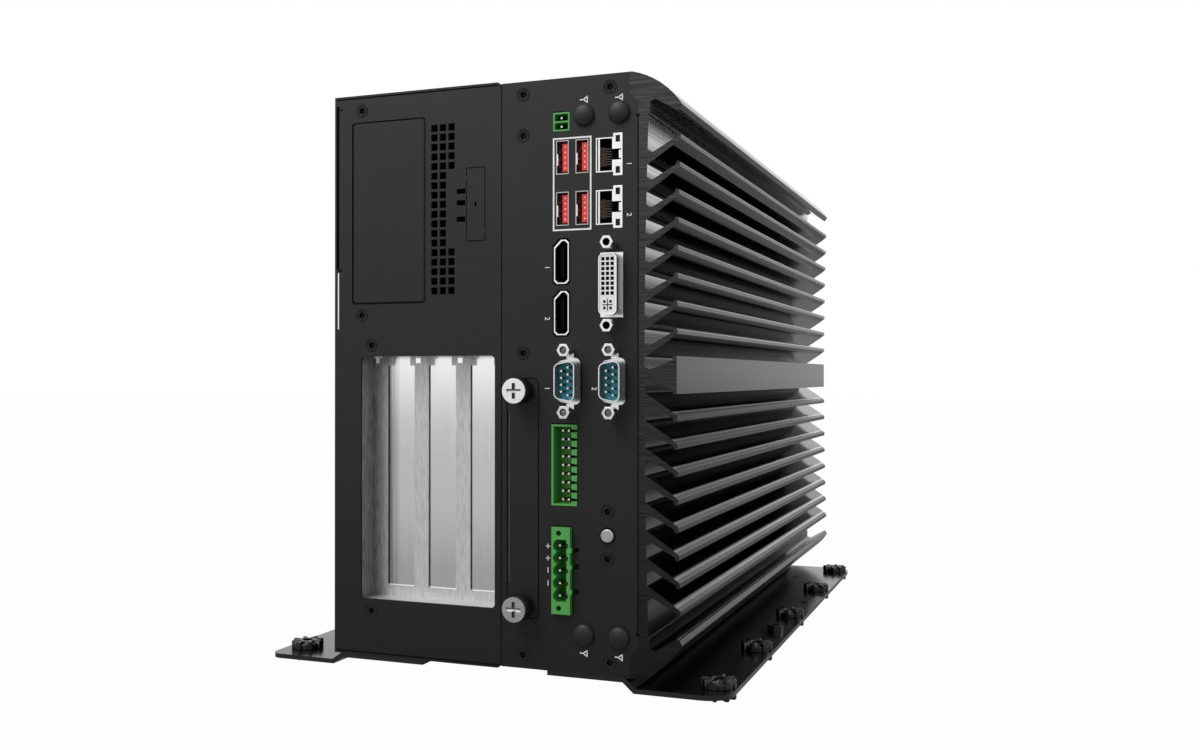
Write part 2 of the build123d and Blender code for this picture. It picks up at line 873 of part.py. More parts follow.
with BuildPart() as dvi_shell_part:
    with BuildSketch(front_plane(io_plate)):
        with Locations(dvi_place):
            Rectangle(com_flange_width, dvi_flange_height)
        with Locations(*dvi_screw_places):
            RegularPolygon(jackscrew_stud_radius + cutout_clearance, screw_sides, mode=Mode.SUBTRACT)
    extrude(amount=-com_flange)
    with BuildSketch(front_plane(-dvi_base / 2)):
        with Locations(dvi_place):
            Rectangle(dvi_base_width, dvi_base_height)
    extrude(amount=-(dvi_base / 2 + io_plate))
    with BuildSketch(front_plane(-dvi_reach)):
        with Locations(dvi_place):
            RectangleRounded(dvi_width, dvi_height, dvi_corner)
    extrude(amount=-dvi_reach)
    with BuildSketch(front_plane(-dvi_reach)):
        with Locations(dvi_place):
            RectangleRounded(dvi_width - 2 * dvi_shell, dvi_height - 2 * dvi_shell, dvi_corner - dvi_shell)
    extrude(amount=-(dvi_reach + io_plate + com_flange), mode=Mode.SUBTRACT)
dvi_shell_part.part.label = "dvi_shell"
export_step(dvi_shell_part.part, "parts/dvi_shell.step")

dvi_columns = 3
dvi_rows = 8
dvi_cross_drop = 8.3
dvi_cross_spacing = 2.6
dvi_cross_hole = 0.9
dvi_holes_rise = 3.15
with BuildPart() as dvi_insulator:
    with BuildSketch(front_plane(-dvi_reach + cutout_clearance)):
        with Locations(dvi_place):
            RectangleRounded(dvi_width - 2 * dvi_shell, dvi_height - 2 * dvi_shell, dvi_corner - dvi_shell)
        with Locations((dvi_place[0], dvi_place[1] + dvi_holes_rise)):
            with GridLocations(dvi_pitch, dvi_pitch, dvi_columns, dvi_rows):
                Rectangle(dvi_hole, dvi_hole, mode=Mode.SUBTRACT)
        with Locations((dvi_place[0], dvi_place[1] - dvi_cross_drop)):
            with GridLocations(dvi_cross_spacing, dvi_cross_spacing, 2, 2):
                Rectangle(dvi_cross_hole, dvi_cross_hole, mode=Mode.SUBTRACT)
    extrude(amount=-(dvi_reach - cutout_clearance + io_plate))
    with BuildSketch(front_plane(io_plate)):
        with Locations(dvi_place):
            RectangleRounded(dvi_width - 2 * dvi_shell, dvi_height - 2 * dvi_shell, dvi_corner - dvi_shell)
    extrude(amount=-dvi_body_depth)
dvi_insulator.part.label = "dvi_insulator"
export_step(dvi_insulator.part, "parts/dvi_insulator.step")

com_inner = (com_width - 2 * com_shell, com_height - 2 * com_shell, com_corner - com_shell)
with BuildPart() as com_shells:
    with BuildSketch(front_plane(io_plate)):
        with Locations(*com_places):
            Rectangle(com_flange_width, com_flange_height)
        with Locations(*com_screw_places):
            RegularPolygon(jackscrew_stud_radius + cutout_clearance, screw_sides, mode=Mode.SUBTRACT)
    extrude(amount=-com_flange)
    with BuildSketch(front_plane(-com_base)):
        for place in com_places:
            add(com_outline(place, com_base_width, com_base_height, com_corner))
    extrude(amount=-(com_base + io_plate))
    with BuildSketch(front_plane(-com_reach)):
        for place in com_places:
            add(com_outline(place, com_width, com_height, com_corner))
    extrude(amount=-com_reach)
    with BuildSketch(front_plane(-com_reach)):
        for place in com_places:
            add(com_outline(place, *com_inner))
    extrude(amount=-(com_reach + io_plate + com_flange), mode=Mode.SUBTRACT)
com_shells.part.label = "com_shells"
export_step(com_shells.part, "parts/com_shells.step")

com_back = io_plate + com_body_depth
com_pin_places = [
    (x + column * com_row_pitch / 2, z + step * com_pin_pitch)
    for x, z in com_places
    for column, steps in ((1, (-2, -1, 0, 1, 2)), (-1, (-1.5, -0.5, 0.5, 1.5)))
    for step in steps
]
with BuildPart() as com_pins:
    with BuildSketch(front_plane(pin_setback / 2 - com_reach)):
        with Locations(*com_pin_places):
            RegularPolygon(com_pin_radius, com_pin_sides)
    extrude(amount=-(com_face_setback - pin_setback / 2 + pin_tail))
with BuildPart() as com_insulators:
    with BuildSketch(front_plane(com_face_setback - com_reach)):
        for place in com_places:
            add(com_outline(place, *com_inner))
    extrude(amount=-(com_back - com_face_setback + com_reach))
    with BuildSketch(front_plane(com_face_setback - com_reach)):
        with Locations(*com_pin_places):
            RegularPolygon(com_pin_radius, com_pin_sides)
    extrude(amount=-pin_tail, mode=Mode.SUBTRACT)
com_insulators.part.label = "com_insulators"
export_step(com_insulators.part, "parts/com_insulators.step")
com_pins.part.label = "com_pins"
export_step(com_pins.part, "parts/com_pins.step")

with BuildPart() as jackscrews:
    with BuildSketch(front_plane(-jackscrew_reach)):
        with Locations(*com_screw_places, *dvi_screw_places):
            RegularPolygon(jackscrew_flats / 2, 6, major_radius=False)
    extrude(amount=-jackscrew_reach)
    with BuildSketch(front_plane(-jackscrew_reach)):
        with Locations(*com_screw_places, *dvi_screw_places):
            RegularPolygon(jackscrew_bore_radius, screw_sides)
    extrude(amount=-jackscrew_bore_depth, mode=Mode.SUBTRACT)
    with BuildSketch(front_plane()):
        with Locations(*com_screw_places, *dvi_screw_places):
            RegularPolygon(jackscrew_stud_radius, screw_sides)
    extrude(amount=-jackscrew_stud)
jackscrews.part.label = "jackscrews"
export_step(jackscrews.part, "parts/jackscrews.step")

# Green terminal headers and their pins
header_front = -cutout_clearance
cavity_depth = header_depth - header_floor
terminal_pin_places = [
    (terminal_place[0] - terminal_wall / 2, terminal_place[1] + side * terminal_pitch / 2) for side in (1, -1)
]
with BuildPart() as switch_terminal:
    with BuildSketch(front_plane(header_front)):
        with Locations(terminal_place):
            Rectangle(terminal_width, 2 * terminal_pitch + terminal_wall)
    extrude(amount=-header_depth)
    with BuildSketch(front_plane(header_front)):
        with Locations(terminal_place):
            with GridLocations(0, terminal_pitch, 1, 2):
                Rectangle(terminal_width - 2 * terminal_wall, terminal_pitch - terminal_wall)
    extrude(amount=-cavity_depth, mode=Mode.SUBTRACT)
    with BuildSketch(front_plane(header_front + cavity_depth)):
        with Locations(*terminal_pin_places):
            Rectangle(pin_side, pin_side)
    extrude(amount=-header_floor, mode=Mode.SUBTRACT)
    with BuildSketch(front_plane(foot_setback)):
        add(board_foot(terminal_place[0] + terminal_width / 2, terminal_place[1], terminal_width))
    extrude(amount=-(header_depth + header_front - foot_setback))
switch_terminal.part.label = "switch_terminal"
export_step(switch_terminal.part, "parts/switch_terminal.step")

dio_left_x = dio_place[0] - dio_width / 2
dio_right_x = dio_place[0] + dio_width / 2
dio_pin_x = left_of_seam(dio_pin_inset)
dio_row_places = [
    (dio_place[1] + (row - (dio_rows - 1) / 2) * dio_pitch) for row in range(dio_rows)
]
dio_pin_places = [
    (dio_pin_x + side * dio_column_gap / 2, z) for z in dio_row_places for side in (1, -1)
]
dio_cavity = dio_width - dio_left_wall - dio_right_wall
with BuildPart() as dio_header:
    with BuildSketch(front_plane(header_front)):
        with Locations(dio_place):
            Rectangle(dio_width, dio_height)
    extrude(amount=-header_depth)
    with BuildSketch(front_plane(header_front)):
        with Locations((dio_left_x + dio_left_wall + dio_cavity / 2, dio_place[1])):
            Rectangle(dio_cavity, dio_height - 2 * dio_top_wall)
        with Locations(*[(dio_right_x - dio_right_wall / 2 - dio_top_wall, z) for z in dio_row_places]):
            Rectangle(dio_right_wall, dio_key_height)
    extrude(amount=-cavity_depth, mode=Mode.SUBTRACT)
    with BuildSketch(front_plane(header_front + cavity_depth)):
        with Locations(*dio_pin_places):
            Rectangle(pin_side, pin_side)
    extrude(amount=-header_floor, mode=Mode.SUBTRACT)
    with BuildSketch(front_plane(foot_setback)):
        add(board_foot(dio_right_x, dio_place[1], dio_height))
    extrude(amount=-(header_depth + header_front - foot_setback))
dio_header.part.label = "dio_header"
export_step(dio_header.part, "parts/dio_header.step")

dc_left_x = dc_place[0] - dc_width / 2
dc_right_x = dc_place[0] + dc_width / 2
dc_poles_z = [dc_place[1] + (pole - (dc_poles - 1) / 2) * dc_pitch for pole in range(dc_poles)]
dc_scallop = dc_pitch / 2
dc_cavity_x = dc_left_x + dc_left_wall + dc_cavity_width / 2
dc_pin_places = [(dc_cavity_x - dc_left_wall / 2, z) for z in dc_poles_z]
with BuildPart() as dc_header:
    with BuildSketch(front_plane(-dc_reach)):
        with Locations(dc_place):
            Rectangle(dc_width, dc_height)
    extrude(amount=-(dc_reach + header_depth))
    with BuildSketch(front_plane(-dc_reach)):
        with Locations((dc_cavity_x + dc_scallop / 4, dc_place[1])):
            Rectangle(dc_cavity_width - dc_scallop / 2, dc_cavity_height)
        with Locations(*[(dc_left_x + dc_left_wall + dc_scallop, z) for z in dc_poles_z]):
            Circle(dc_scallop)
        with Locations(*[(dc_cavity_x + dc_cavity_width / 2, z) for z in dc_poles_z]):
            Rectangle(2 * dc_left_wall, dc_key_height)
    extrude(amount=-(dc_reach + cavity_depth), mode=Mode.SUBTRACT)
    with BuildSketch(front_plane(-dc_reach)):
        with Locations(
            *[
                (left_of_seam(dc_screw_inset), dc_place[1] + side * dc_screw_spacing / 2)
                for side in (1, -1)
            ]
        ):
            RegularPolygon(dc_screw_hole_radius, screw_sides)
    extrude(amount=-(dc_reach + cavity_depth), mode=Mode.SUBTRACT)
    with BuildSketch(front_plane(-dc_reach)):
        with Locations(*[(dc_right_x, below_top(drop)) for drop in dc_slot_drops]):
            Rectangle(2 * dc_tab, dc_tab_height)
    extrude(amount=-dc_reach / 2)
    with BuildSketch(front_plane(cavity_depth)):
        with Locations(*dc_pin_places):
            Rectangle(pin_side, pin_side)
    extrude(amount=-header_floor, mode=Mode.SUBTRACT)
    with BuildSketch(front_plane(foot_setback)):
        add(board_foot(dc_right_x, dc_place[1], dc_height))
    extrude(amount=-(header_depth - foot_setback))
dc_header.part.label = "dc_header"
export_step(dc_header.part, "parts/dc_header.step")

with BuildPart() as header_pins:
    with BuildSketch(front_plane(header_front + pin_setback)):
        with Locations(*terminal_pin_places, *dio_pin_places):
            Rectangle(pin_side, pin_side)
    extrude(amount=-(header_depth - pin_setback))
    with BuildSketch(front_plane(pin_setback - dc_reach)):
        with Locations(*dc_pin_places):
            Rectangle(pin_side, pin_side)
    extrude(amount=-(dc_reach - pin_setback + header_depth))
header_pins.part.label = "header_pins"
export_step(header_pins.part, "parts/header_pins.step")

# Rubber plugs in the four spare aerial holes
with BuildPart() as antenna_plugs:
    with Locations(front_plane()):
        with Locations(*plug_places):
            Cylinder(plug_radius, plug_rise / 2, align=(Align.CENTER, Align.CENTER, Align.MIN))
            with Locations((0, 0, plug_rise / 2)):
                Cone(
                    plug_radius,
                    plug_radius * 0.55,
                    plug_rise / 2,
                    align=(Align.CENTER, Align.CENTER, Align.MIN),
                )
    with BuildSketch(front_plane()):
        with Locations(*plug_places):
            RegularPolygon(plug_stem_radius - screw_clearance, screw_sides)
    extrude(amount=-(io_plate + plug_rise))
antenna_plugs.part.label = "antenna_plugs"
export_step(antenna_plugs.part, "parts/antenna_plugs.step")

# Power button in its collar
button_floor = button_cap - button_reach + button_travel + button_gap
with BuildPart() as button_collar:
    with BuildSketch(front_plane(-cutout_clearance)):
        with Locations(button_place):
            Circle(button_collar_radius)
            Circle(button_radius + button_gap, mode=Mode.SUBTRACT)
    extrude(amount=-(cutout_clearance + button_floor))
    with BuildSketch(front_plane(button_floor)):
        with Locations(button_place):
            Circle(button_collar_radius)
    extrude(amount=-(button_collar_depth - button_floor))
button_collar.part.label = "button_collar"
export_step(button_collar.part, "parts/button_collar.step")

with BuildPart() as power_button:
    with BuildSketch(front_plane(-button_reach)):
        with Locations(button_place):
            Circle(button_radius)
    extrude(amount=-button_cap)
    chamfer(power_button.edges().sort_by(Axis.Y)[0], length=button_gap * 3)
power_button.part.label = "power_button"
export_step(power_button.part, "parts/power_button.step")


# Drive tray, its bay and the two thumbscrews
tray_slit_x = tray_x - tray_width / 2 + tray_slit_width / 2
drive_back = drive_setback + drive_length
carrier_half = drive_height / 2 + tray_sheet
with BuildPart() as drive_tray:
    with BuildSketch(front_plane()):
        with Locations((tray_x, tray_z)):
            RectangleRounded(tray_width, tray_height, tray_corner - tray_gap)
        with Locations((tray_slit_x, tray_z)):
            Rectangle(tray_slit_width, tray_slit_length, mode=Mode.SUBTRACT)
        with Locations(*thumb_places):
            Circle(thumb_shank_radius + thumb_running_gap, mode=Mode.SUBTRACT)
    extrude(amount=-tray_plate)
    with BuildSketch(front_plane(tray_plate)):
        with Locations((tray_x + tray_sheet / 2, tray_z)):
            Rectangle(drive_thickness + tray_sheet, 2 * carrier_half)
        with Locations((tray_x, tray_z)):
            Rectangle(drive_thickness, drive_height, mode=Mode.SUBTRACT)
    extrude(amount=-(drive_back - tray_plate))
drive_tray.part.label = "drive_tray"
export_step(drive_tray.part, "parts/drive_tray.step")

with BuildPart() as drive:
    with BuildSketch(front_plane(drive_setback)):
        with Locations((tray_x, tray_z)):
            Rectangle(drive_thickness, drive_height)
    extrude(amount=-drive_length)
drive.part.label = "drive"
export_step(drive.part, "parts/drive.step")

bay_wall_x = io_left_x + chassis_wall
bay_half = carrier_half + bay_gap + bay_sheet
ear_half = tray_height / 2 - thumb_margin + bay_ear_end
with BuildPart() as tray_bay:
    with BuildSketch(front_plane(io_plate)):
        with Locations((bay_wall_x + bay_reach / 2, tray_z)):
            Rectangle(bay_reach, 2 * bay_half)
        with Locations((bay_wall_x + bay_sheet + bay_reach / 2, tray_z)):
            Rectangle(bay_reach, 2 * (bay_half - bay_sheet), mode=Mode.SUBTRACT)
    extrude(amount=-(bay_length - io_plate))
    with BuildSketch(front_plane(io_plate)):
        with Locations((bay_wall_x + bay_reach / 2, tray_z)):
            Rectangle(bay_reach, 2 * ear_half)
            Rectangle(bay_reach, 2 * (bay_half - bay_sheet), mode=Mode.SUBTRACT)
        with Locations(*thumb_places):
            Circle(thumb_shank_radius + thumb_running_gap, mode=Mode.SUBTRACT)
    extrude(amount=-bay_ear)
tray_bay.part.label = "tray_bay"
export_step(tray_bay.part, "parts/tray_bay.step")

head_front = -(thumb_gap + thumb_knob_length + thumb_head)
with BuildPart() as thumb_screw_upper:
    with BuildSketch(front_plane(head_front)):
        with Locations(thumb_places[0]):
            Circle(thumb_head_radius)
    extrude(amount=-thumb_head)
    with BuildSketch(front_plane(head_front + thumb_head)):
        with Locations(thumb_places[0]):
            Circle(thumb_shank_radius)
    extrude(amount=-(thumb_gap + thumb_knob_length + thumb_shank_length))
    with BuildSketch(front_plane(head_front)):
        with Locations(thumb_places[0]):
            Rectangle(thumb_recess_span, thumb_recess_width)
            Rectangle(thumb_recess_width, thumb_recess_span)
    extrude(amount=-thumb_recess_depth, mode=Mode.SUBTRACT)
thumb_screw_upper.part.label = "thumb_screw_upper"
export_step(thumb_screw_upper.part, "parts/thumb_screw_upper.step")

thumb_step = Location((0, 0, thumb_places[1][1] - thumb_places[0][1]))
with BuildPart() as thumb_screw_lower:
    add(thumb_screw_upper.part.moved(thumb_step))
thumb_screw_lower.part.label = "thumb_screw_lower"
export_step(thumb_screw_lower.part, "parts/thumb_screw_lower.step")

with BuildPart() as knob_upper:
    with BuildSketch(front_plane(head_front + thumb_head)):
        with Locations(thumb_places[0]):
            Circle(thumb_knob_radius)
            Circle(thumb_shank_radius, mode=Mode.SUBTRACT)
    extrude(amount=-thumb_knob_length)
knob_upper.part.label = "knob_upper"
export_step(knob_upper.part, "parts/knob_upper.step")

with BuildPart() as knob_lower:
    add(knob_upper.part.moved(thumb_step))
knob_lower.part.label = "knob_lower"
export_step(knob_lower.part, "parts/knob_lower.step")

# Boards inside the body
with BuildPart() as motherboard:
    with BuildSketch(front_plane(board_setback)):
        with Locations(((board_left_x + board_right_x) / 2, mid_z)):
            Rectangle(board_plate, chassis_height - 2 * board_margin)
    extrude(amount=-board_length)
motherboard.part.label = "motherboard"
export_step(motherboard.part, "parts/motherboard.step")

with BuildPart() as cpu_block:
    with BuildSketch(front_plane(cpu_back - cpu_side / 2)):
        with Locations(((board_right_x + seam_x) / 2, floor_z + chassis_height * cpu_height_share)):
            Rectangle(seam_x - board_right_x, cpu_side)
    extrude(amount=-cpu_side)
cpu_block.part.label = "cpu_block"
export_step(cpu_block.part, "parts/cpu_block.step")

with BuildPart() as memory_modules:
    with BuildSketch(front_plane(memory_back)):
        with Locations((board_left_x - memory_thickness / 2, mid_z)):
            with GridLocations(0, memory_pitch, 1, 2):
                Rectangle(memory_thickness, memory_width)
    extrude(amount=-memory_length)
memory_modules.part.label = "memory_modules"
export_step(memory_modules.part, "parts/memory_modules.step")

# Card cage: panels, cover and hatch
cage_panel_left_x = cage_left_x + cover_sheet
cage_panel_width = cage_right_x - cage_panel_left_x
cage_flange_width = io_left_x - cage_panel_left_x
window_width = window_left_inset - window_right_inset
window_height = window_bottom_drop - window_top_drop
window_place = (
    left_of_seam((window_left_inset + window_right_inset) / 2),
    below_top((window_top_drop + window_bottom_drop) / 2),
)
hatch_width = hatch_left_inset - hatch_right_inset
hatch_height = hatch_bottom_drop - hatch_top_drop
hatch_place = (
    left_of_seam((hatch_left_inset + hatch_right_inset) / 2),
    below_top((hatch_top_drop + hatch_bottom_drop) / 2),
)
knockout_width = knockout_left_inset - knockout_right_inset
knockout_height = knockout_bottom_drop - knockout_top_drop
knockout_place = (
    left_of_seam((knockout_left_inset + knockout_right_inset) / 2),
    below_top((knockout_top_drop + knockout_bottom_drop) / 2),
)
vent_places = [
    (left_of_seam(vent_left_inset - column * vent_pitch), below_top(vent_top_drop + row * vent_pitch))
    for column in range(3)
    for row in range(vent_rows)
    if column < 2 or row < vent_short_rows or row >= vent_rows - vent_short_rows
]
hatch_screw_places = [(left_of_seam(cage_left_screw_inset), below_top(drop)) for drop in cage_hatch_screw_drops]
window_screw_places = [
    (left_of_seam(cage_window_screw_inset), below_top(drop)) for drop in cage_window_screw_drops
]
edge_slot_height = edge_slot_bottom_drop - edge_slot_top_drop


def cage_flanges():
    """The folded edges of a cage panel, seen from the front. The right one meets the body."""
    with BuildSketch() as outline:
        with Locations((cage_panel_left_x + cage_flange_width / 2, mid_z)):
            Rectangle(cage_flange_width, chassis_height)
            Rectangle(cage_flange_width - 2 * cage_sheet, chassis_height - 2 * cage_sheet, mode=Mode.SUBTRACT)
    return outline.sketch


def knockout_outline():
    """The slit round the knock-out, broken by two small bridges."""
    with BuildSketch() as outline:
        with Locations(knockout_place):
            Rectangle(knockout_width, knockout_height)
            Rectangle(
                knockout_width - 2 * knockout_slit, knockout_height - 2 * knockout_slit, mode=Mode.SUBTRACT
            )
        for side in (1, -1):
            with Locations(
                (
                    knockout_place[0] - side * knockout_width / 2,
                    knockout_place[1] + side * (knockout_height / 2 - knockout_bridge_drop),
                )
            ):
                Rectangle(knockout_width, knockout_bridge, mode=Mode.SUBTRACT)
    return outline.sketch


with BuildPart() as cage_front_panel:
    with BuildSketch(front_plane()):
        with Locations((cage_panel_left_x + cage_panel_width / 2, mid_z)):
            Rectangle(cage_panel_width, chassis_height - 2 * cage_edge_gap)
        with Locations(window_place):
            RectangleRounded(window_width, window_height, window_corner, mode=Mode.SUBTRACT)
        with Locations(hatch_place):
            RectangleRounded(hatch_width, hatch_height, hatch_corner, mode=Mode.SUBTRACT)
        with Locations(*vent_places):
            Rectangle(vent_hole, vent_hole, mode=Mode.SUBTRACT)
        with Locations(
            *[
                (left_of_seam(knockout_left_inset) - cable_hole_width / 2 - knockout_slit, below_top(drop))
                for drop in cable_hole_drops
            ]
        ):
            Rectangle(cable_hole_width, cable_hole_height, mode=Mode.SUBTRACT)
        add(knockout_outline(), mode=Mode.SUBTRACT)
    extrude(amount=-cage_sheet)
    with BuildSketch(front_plane(cage_sheet)):
        add(cage_flanges())
    extrude(amount=-(flange_depth - cage_sheet))
    with BuildSketch(front_plane()):
        with Locations(
            (
                cage_panel_left_x + edge_slot_width / 2,
                below_top(edge_slot_top_drop + edge_slot_height / 2),
            )
        ):
            Rectangle(edge_slot_width, edge_slot_height)
        with Locations(knockout_place):
            SlotOverall(pry_height, pry_width, rotation=90)
    extrude(amount=-flange_depth / 2, mode=Mode.SUBTRACT)
    add(sunk_shapes(hatch_screw_places + window_screw_places, front_plane(), screw_length, screw_clearance), mode=Mode.SUBTRACT)
cage_front_panel.part.label = "cage_front_panel"
export_step(cage_front_panel.part, "parts/cage_front_panel.step")

cage_rear_screw_places = [
    (window_place[0] + side * window_width / 2, z)
    for side in (1, -1)
    for z in (top_z - 2 * side_screw_margin, floor_z + 2 * side_screw_margin)
]
with BuildPart() as cage_rear_panel:
    with BuildSketch(front_plane(chassis_depth - cage_sheet)):
        with Locations((cage_panel_left_x + cage_panel_width / 2, mid_z)):
            Rectangle(cage_panel_width, chassis_height)
    extrude(amount=-cage_sheet)
    with BuildSketch(front_plane(chassis_depth - flange_depth)):
        add(cage_flanges())
    extrude(amount=-(flange_depth - cage_sheet))
    add(
        sunk_shapes(
            [(-x, z) for x, z in cage_rear_screw_places], back_plane(), screw_length, screw_clearance
        ),
        mode=Mode.SUBTRACT,
    )
cage_rear_panel.part.label = "cage_rear_panel"
export_step(cage_rear_panel.part, "parts/cage_rear_panel.step")

with BuildPart() as cage_cover:
    cover_right_x = left_of_seam(cover_right_inset)
    with BuildSketch(front_plane(cover_setback)):
        with BuildLine():
            Polyline(
                (cover_right_x, top_z + cover_sheet),
                (cage_left_x, top_z + cover_sheet),
                (cage_left_x, floor_z - cover_sheet),
                (cover_right_x, floor_z - cover_sheet),
                (cover_right_x, floor_z),
                (cage_panel_left_x, floor_z),
                (cage_panel_left_x, top_z),
                (cover_right_x, top_z),
                close=True,
            )
        make_face()
    extrude(amount=-(chassis_depth - 2 * cover_setback))
    with BuildSketch(Plane.XY.offset(floor_z)):
        with Locations(*left_bracket_screws):
            RegularPolygon(bracket_screw_radius, screw_sides)
    extrude(amount=-cover_sheet, mode=Mode.SUBTRACT)
cage_cover.part.label = "cage_cover"
export_step(cage_cover.part, "parts/cage_cover.step")

with BuildPart() as cage_side_plate:
    with BuildSketch(front_plane(flange_depth)):
        with Locations((io_left_x - side_plate_flange / 2, mid_z)):
            Rectangle(side_plate_flange, chassis_height)
        with Locations((io_left_x - side_plate_flange / 2 - cage_sheet, mid_z)):
            Rectangle(side_plate_flange, chassis_height - 2 * cage_sheet, mode=Mode.SUBTRACT)
    extrude(amount=-(chassis_depth - 2 * flange_depth))
cage_side_plate.part.label = "cage_side_plate"
export_step(cage_side_plate.part, "parts/cage_side_plate.step")

with BuildPart() as hatch_plate:
    with BuildSketch(front_plane()):
        with Locations(hatch_place):
            Rectangle(hatch_width - 2 * hatch_gap, hatch_height - 2 * hatch_gap)
            with GridLocations(hatch_width - 2 * hatch_gap, hatch_height - 2 * hatch_gap, 2, 2):
                Rectangle(hatch_notch, hatch_notch, mode=Mode.SUBTRACT)
    extrude(amount=-cage_sheet)
    chamfer(hatch_plate.faces().sort_by(Axis.Y)[0].edges(), length=hatch_bevel)
    with BuildSketch(front_plane(cage_sheet)):
        with Locations(hatch_place):
            Rectangle(hatch_width + 2 * hatch_side_lap, hatch_height + 2 * hatch_end_lap)
    extrude(amount=-hatch_sheet)
    add(sunk_shapes(hatch_screw_places, front_plane(), screw_length, screw_clearance), mode=Mode.SUBTRACT)
hatch_plate.part.label = "hatch_plate"
export_step(hatch_plate.part, "parts/hatch_plate.step")

# Card slots behind the window
recess_width = window_width + 2 * recess_margin
recess_height = window_height + 2 * recess_margin
recess_top = window_place[1] + recess_height / 2
slot_bottom_z = below_top(window_bottom_drop - slot_bottom_margin)
tab_bottom_z = below_top(window_top_drop + slot_tab_height)
slot_xs = [left_of_seam(slot_first_inset - slot * slot_pitch) for slot in range(slot_count)]
slot_screw_y = front_y + slot_screw_front
slot_screw_spots = [(x - slot_screw_offset, slot_screw_y) for x in slot_xs]
with BuildPart() as slot_panel:
    with BuildSketch(front_plane(cage_sheet)):
        with Locations(window_place):
            Rectangle(recess_width + 2 * slot_sheet, recess_height + 2 * slot_sheet)
    extrude(amount=-(slot_recess + slot_sheet - cage_sheet))
    with BuildSketch(front_plane(cage_sheet)):
        with Locations(window_place):
            Rectangle(recess_width + 2 * slot_sheet, recess_height + 2 * recess_flange)
    extrude(amount=-slot_sheet)
    with BuildSketch(front_plane(cage_sheet)):
        with Locations(window_place):
            Rectangle(recess_width, recess_height)
    extrude(amount=-(slot_recess - cage_sheet), mode=Mode.SUBTRACT)
    with BuildSketch(front_plane(slot_recess)):
        with Locations(*[(x, (tab_bottom_z + slot_bottom_z) / 2) for x in slot_xs]):
            Rectangle(slot_opening, tab_bottom_z - slot_bottom_z)
        with Locations(*[(x, (recess_top + tab_bottom_z) / 2) for x in slot_xs]):
            Rectangle(slot_pitch - slot_tab_width, recess_top - tab_bottom_z)
    extrude(amount=-slot_sheet, mode=Mode.SUBTRACT)
    with BuildSketch(Plane.XY.offset(recess_top - slot_boss_height)):
        with Locations(*slot_screw_spots):
            RegularPolygon(slot_boss_radius, screw_sides)
    extrude(amount=slot_boss_height)
    with BuildSketch(Plane.XY.offset(recess_top - slot_boss_height)):
        with Locations(*slot_screw_spots):
            RegularPolygon(slot_screw_radius, screw_sides)
    extrude(amount=slot_boss_height + slot_sheet, mode=Mode.SUBTRACT)
    add(sunk_shapes(window_screw_places, front_plane(), screw_length, screw_clearance), mode=Mode.SUBTRACT)
slot_panel.part.label = "slot_panel"
export_step(slot_panel.part, "parts/slot_panel.step")

ear_top = recess_top + slot_sheet + slot_cover_plate
slot_back = slot_recess + slot_sheet
with BuildPart() as slot_covers:
    with BuildSketch(front_plane(slot_back)):
        for x in slot_xs:
            with Locations((x, (ear_top + below_top(window_bottom_drop)) / 2)):
                Rectangle(slot_cover_width, ear_top - below_top(window_bottom_drop))
    extrude(amount=-slot_cover_plate)
    with BuildSketch(Plane.XY.offset(ear_top - slot_cover_plate)):
        for x in slot_xs:
            with Locations((x + (slot_ear_right - slot_ear_left) / 2, front_y + (slot_back + slot_boss_radius) / 2)):
                Rectangle(slot_ear_left + slot_ear_right, slot_back - slot_boss_radius)
        with Locations(*slot_screw_spots):
            RegularPolygon(slot_screw_radius + screw_clearance, screw_sides, mode=Mode.SUBTRACT)
    extrude(amount=slot_cover_plate)
slot_covers.part.label = "slot_covers"
export_step(slot_covers.part, "parts/slot_covers.step")

with BuildPart() as slot_screws:
    with BuildSketch(Plane.XY.offset(ear_top)):
        with Locations(*slot_screw_spots):
            RegularPolygon(slot_screw_head_radius, screw_sides)
    extrude(amount=slot_screw_head)
    with BuildSketch(Plane.XY.offset(recess_top - slot_boss_height - slot_boss_radius)):
        with Locations(*slot_screw_spots):
            RegularPolygon(slot_screw_radius, screw_sides)
    extrude(amount=ear_top - recess_top + slot_boss_height + slot_boss_radius)
slot_screws.part.label = "slot_screws"
export_step(slot_screws.part, "parts/slot_screws.step")

# Backplane with its sockets
backplane_z = floor_z + backplane_rise
backplane_length = chassis_depth - backplane_front - backplane_back_margin
backplane_width = cage_panel_width - 2 * backplane_side_gap - 2 * cage_sheet
backplane_spot = (cage_panel_left_x + cage_panel_width / 2, front_y + backplane_front + backplane_length / 2)
with BuildPart() as backplane:
    with BuildSketch(Plane.XY.offset(backplane_z)):
        with Locations(backplane_spot):
            Rectangle(backplane_width, backplane_length)
    extrude(amount=backplane_plate)
backplane.part.label = "backplane"
export_step(backplane.part, "parts/backplane.step")

with BuildPart() as backplane_standoffs:
    with BuildSketch(Plane.XY.offset(floor_z)):
        with Locations(backplane_spot):
            with GridLocations(
                backplane_width - 2 * standoff_inset, backplane_length - 2 * standoff_inset, 2, 2
            ):
                RegularPolygon(standoff_radius, standoff_sides)
    extrude(amount=backplane_rise)
backplane_standoffs.part.label = "backplane_standoffs"
export_step(backplane_standoffs.part, "parts/backplane_standoffs.step")

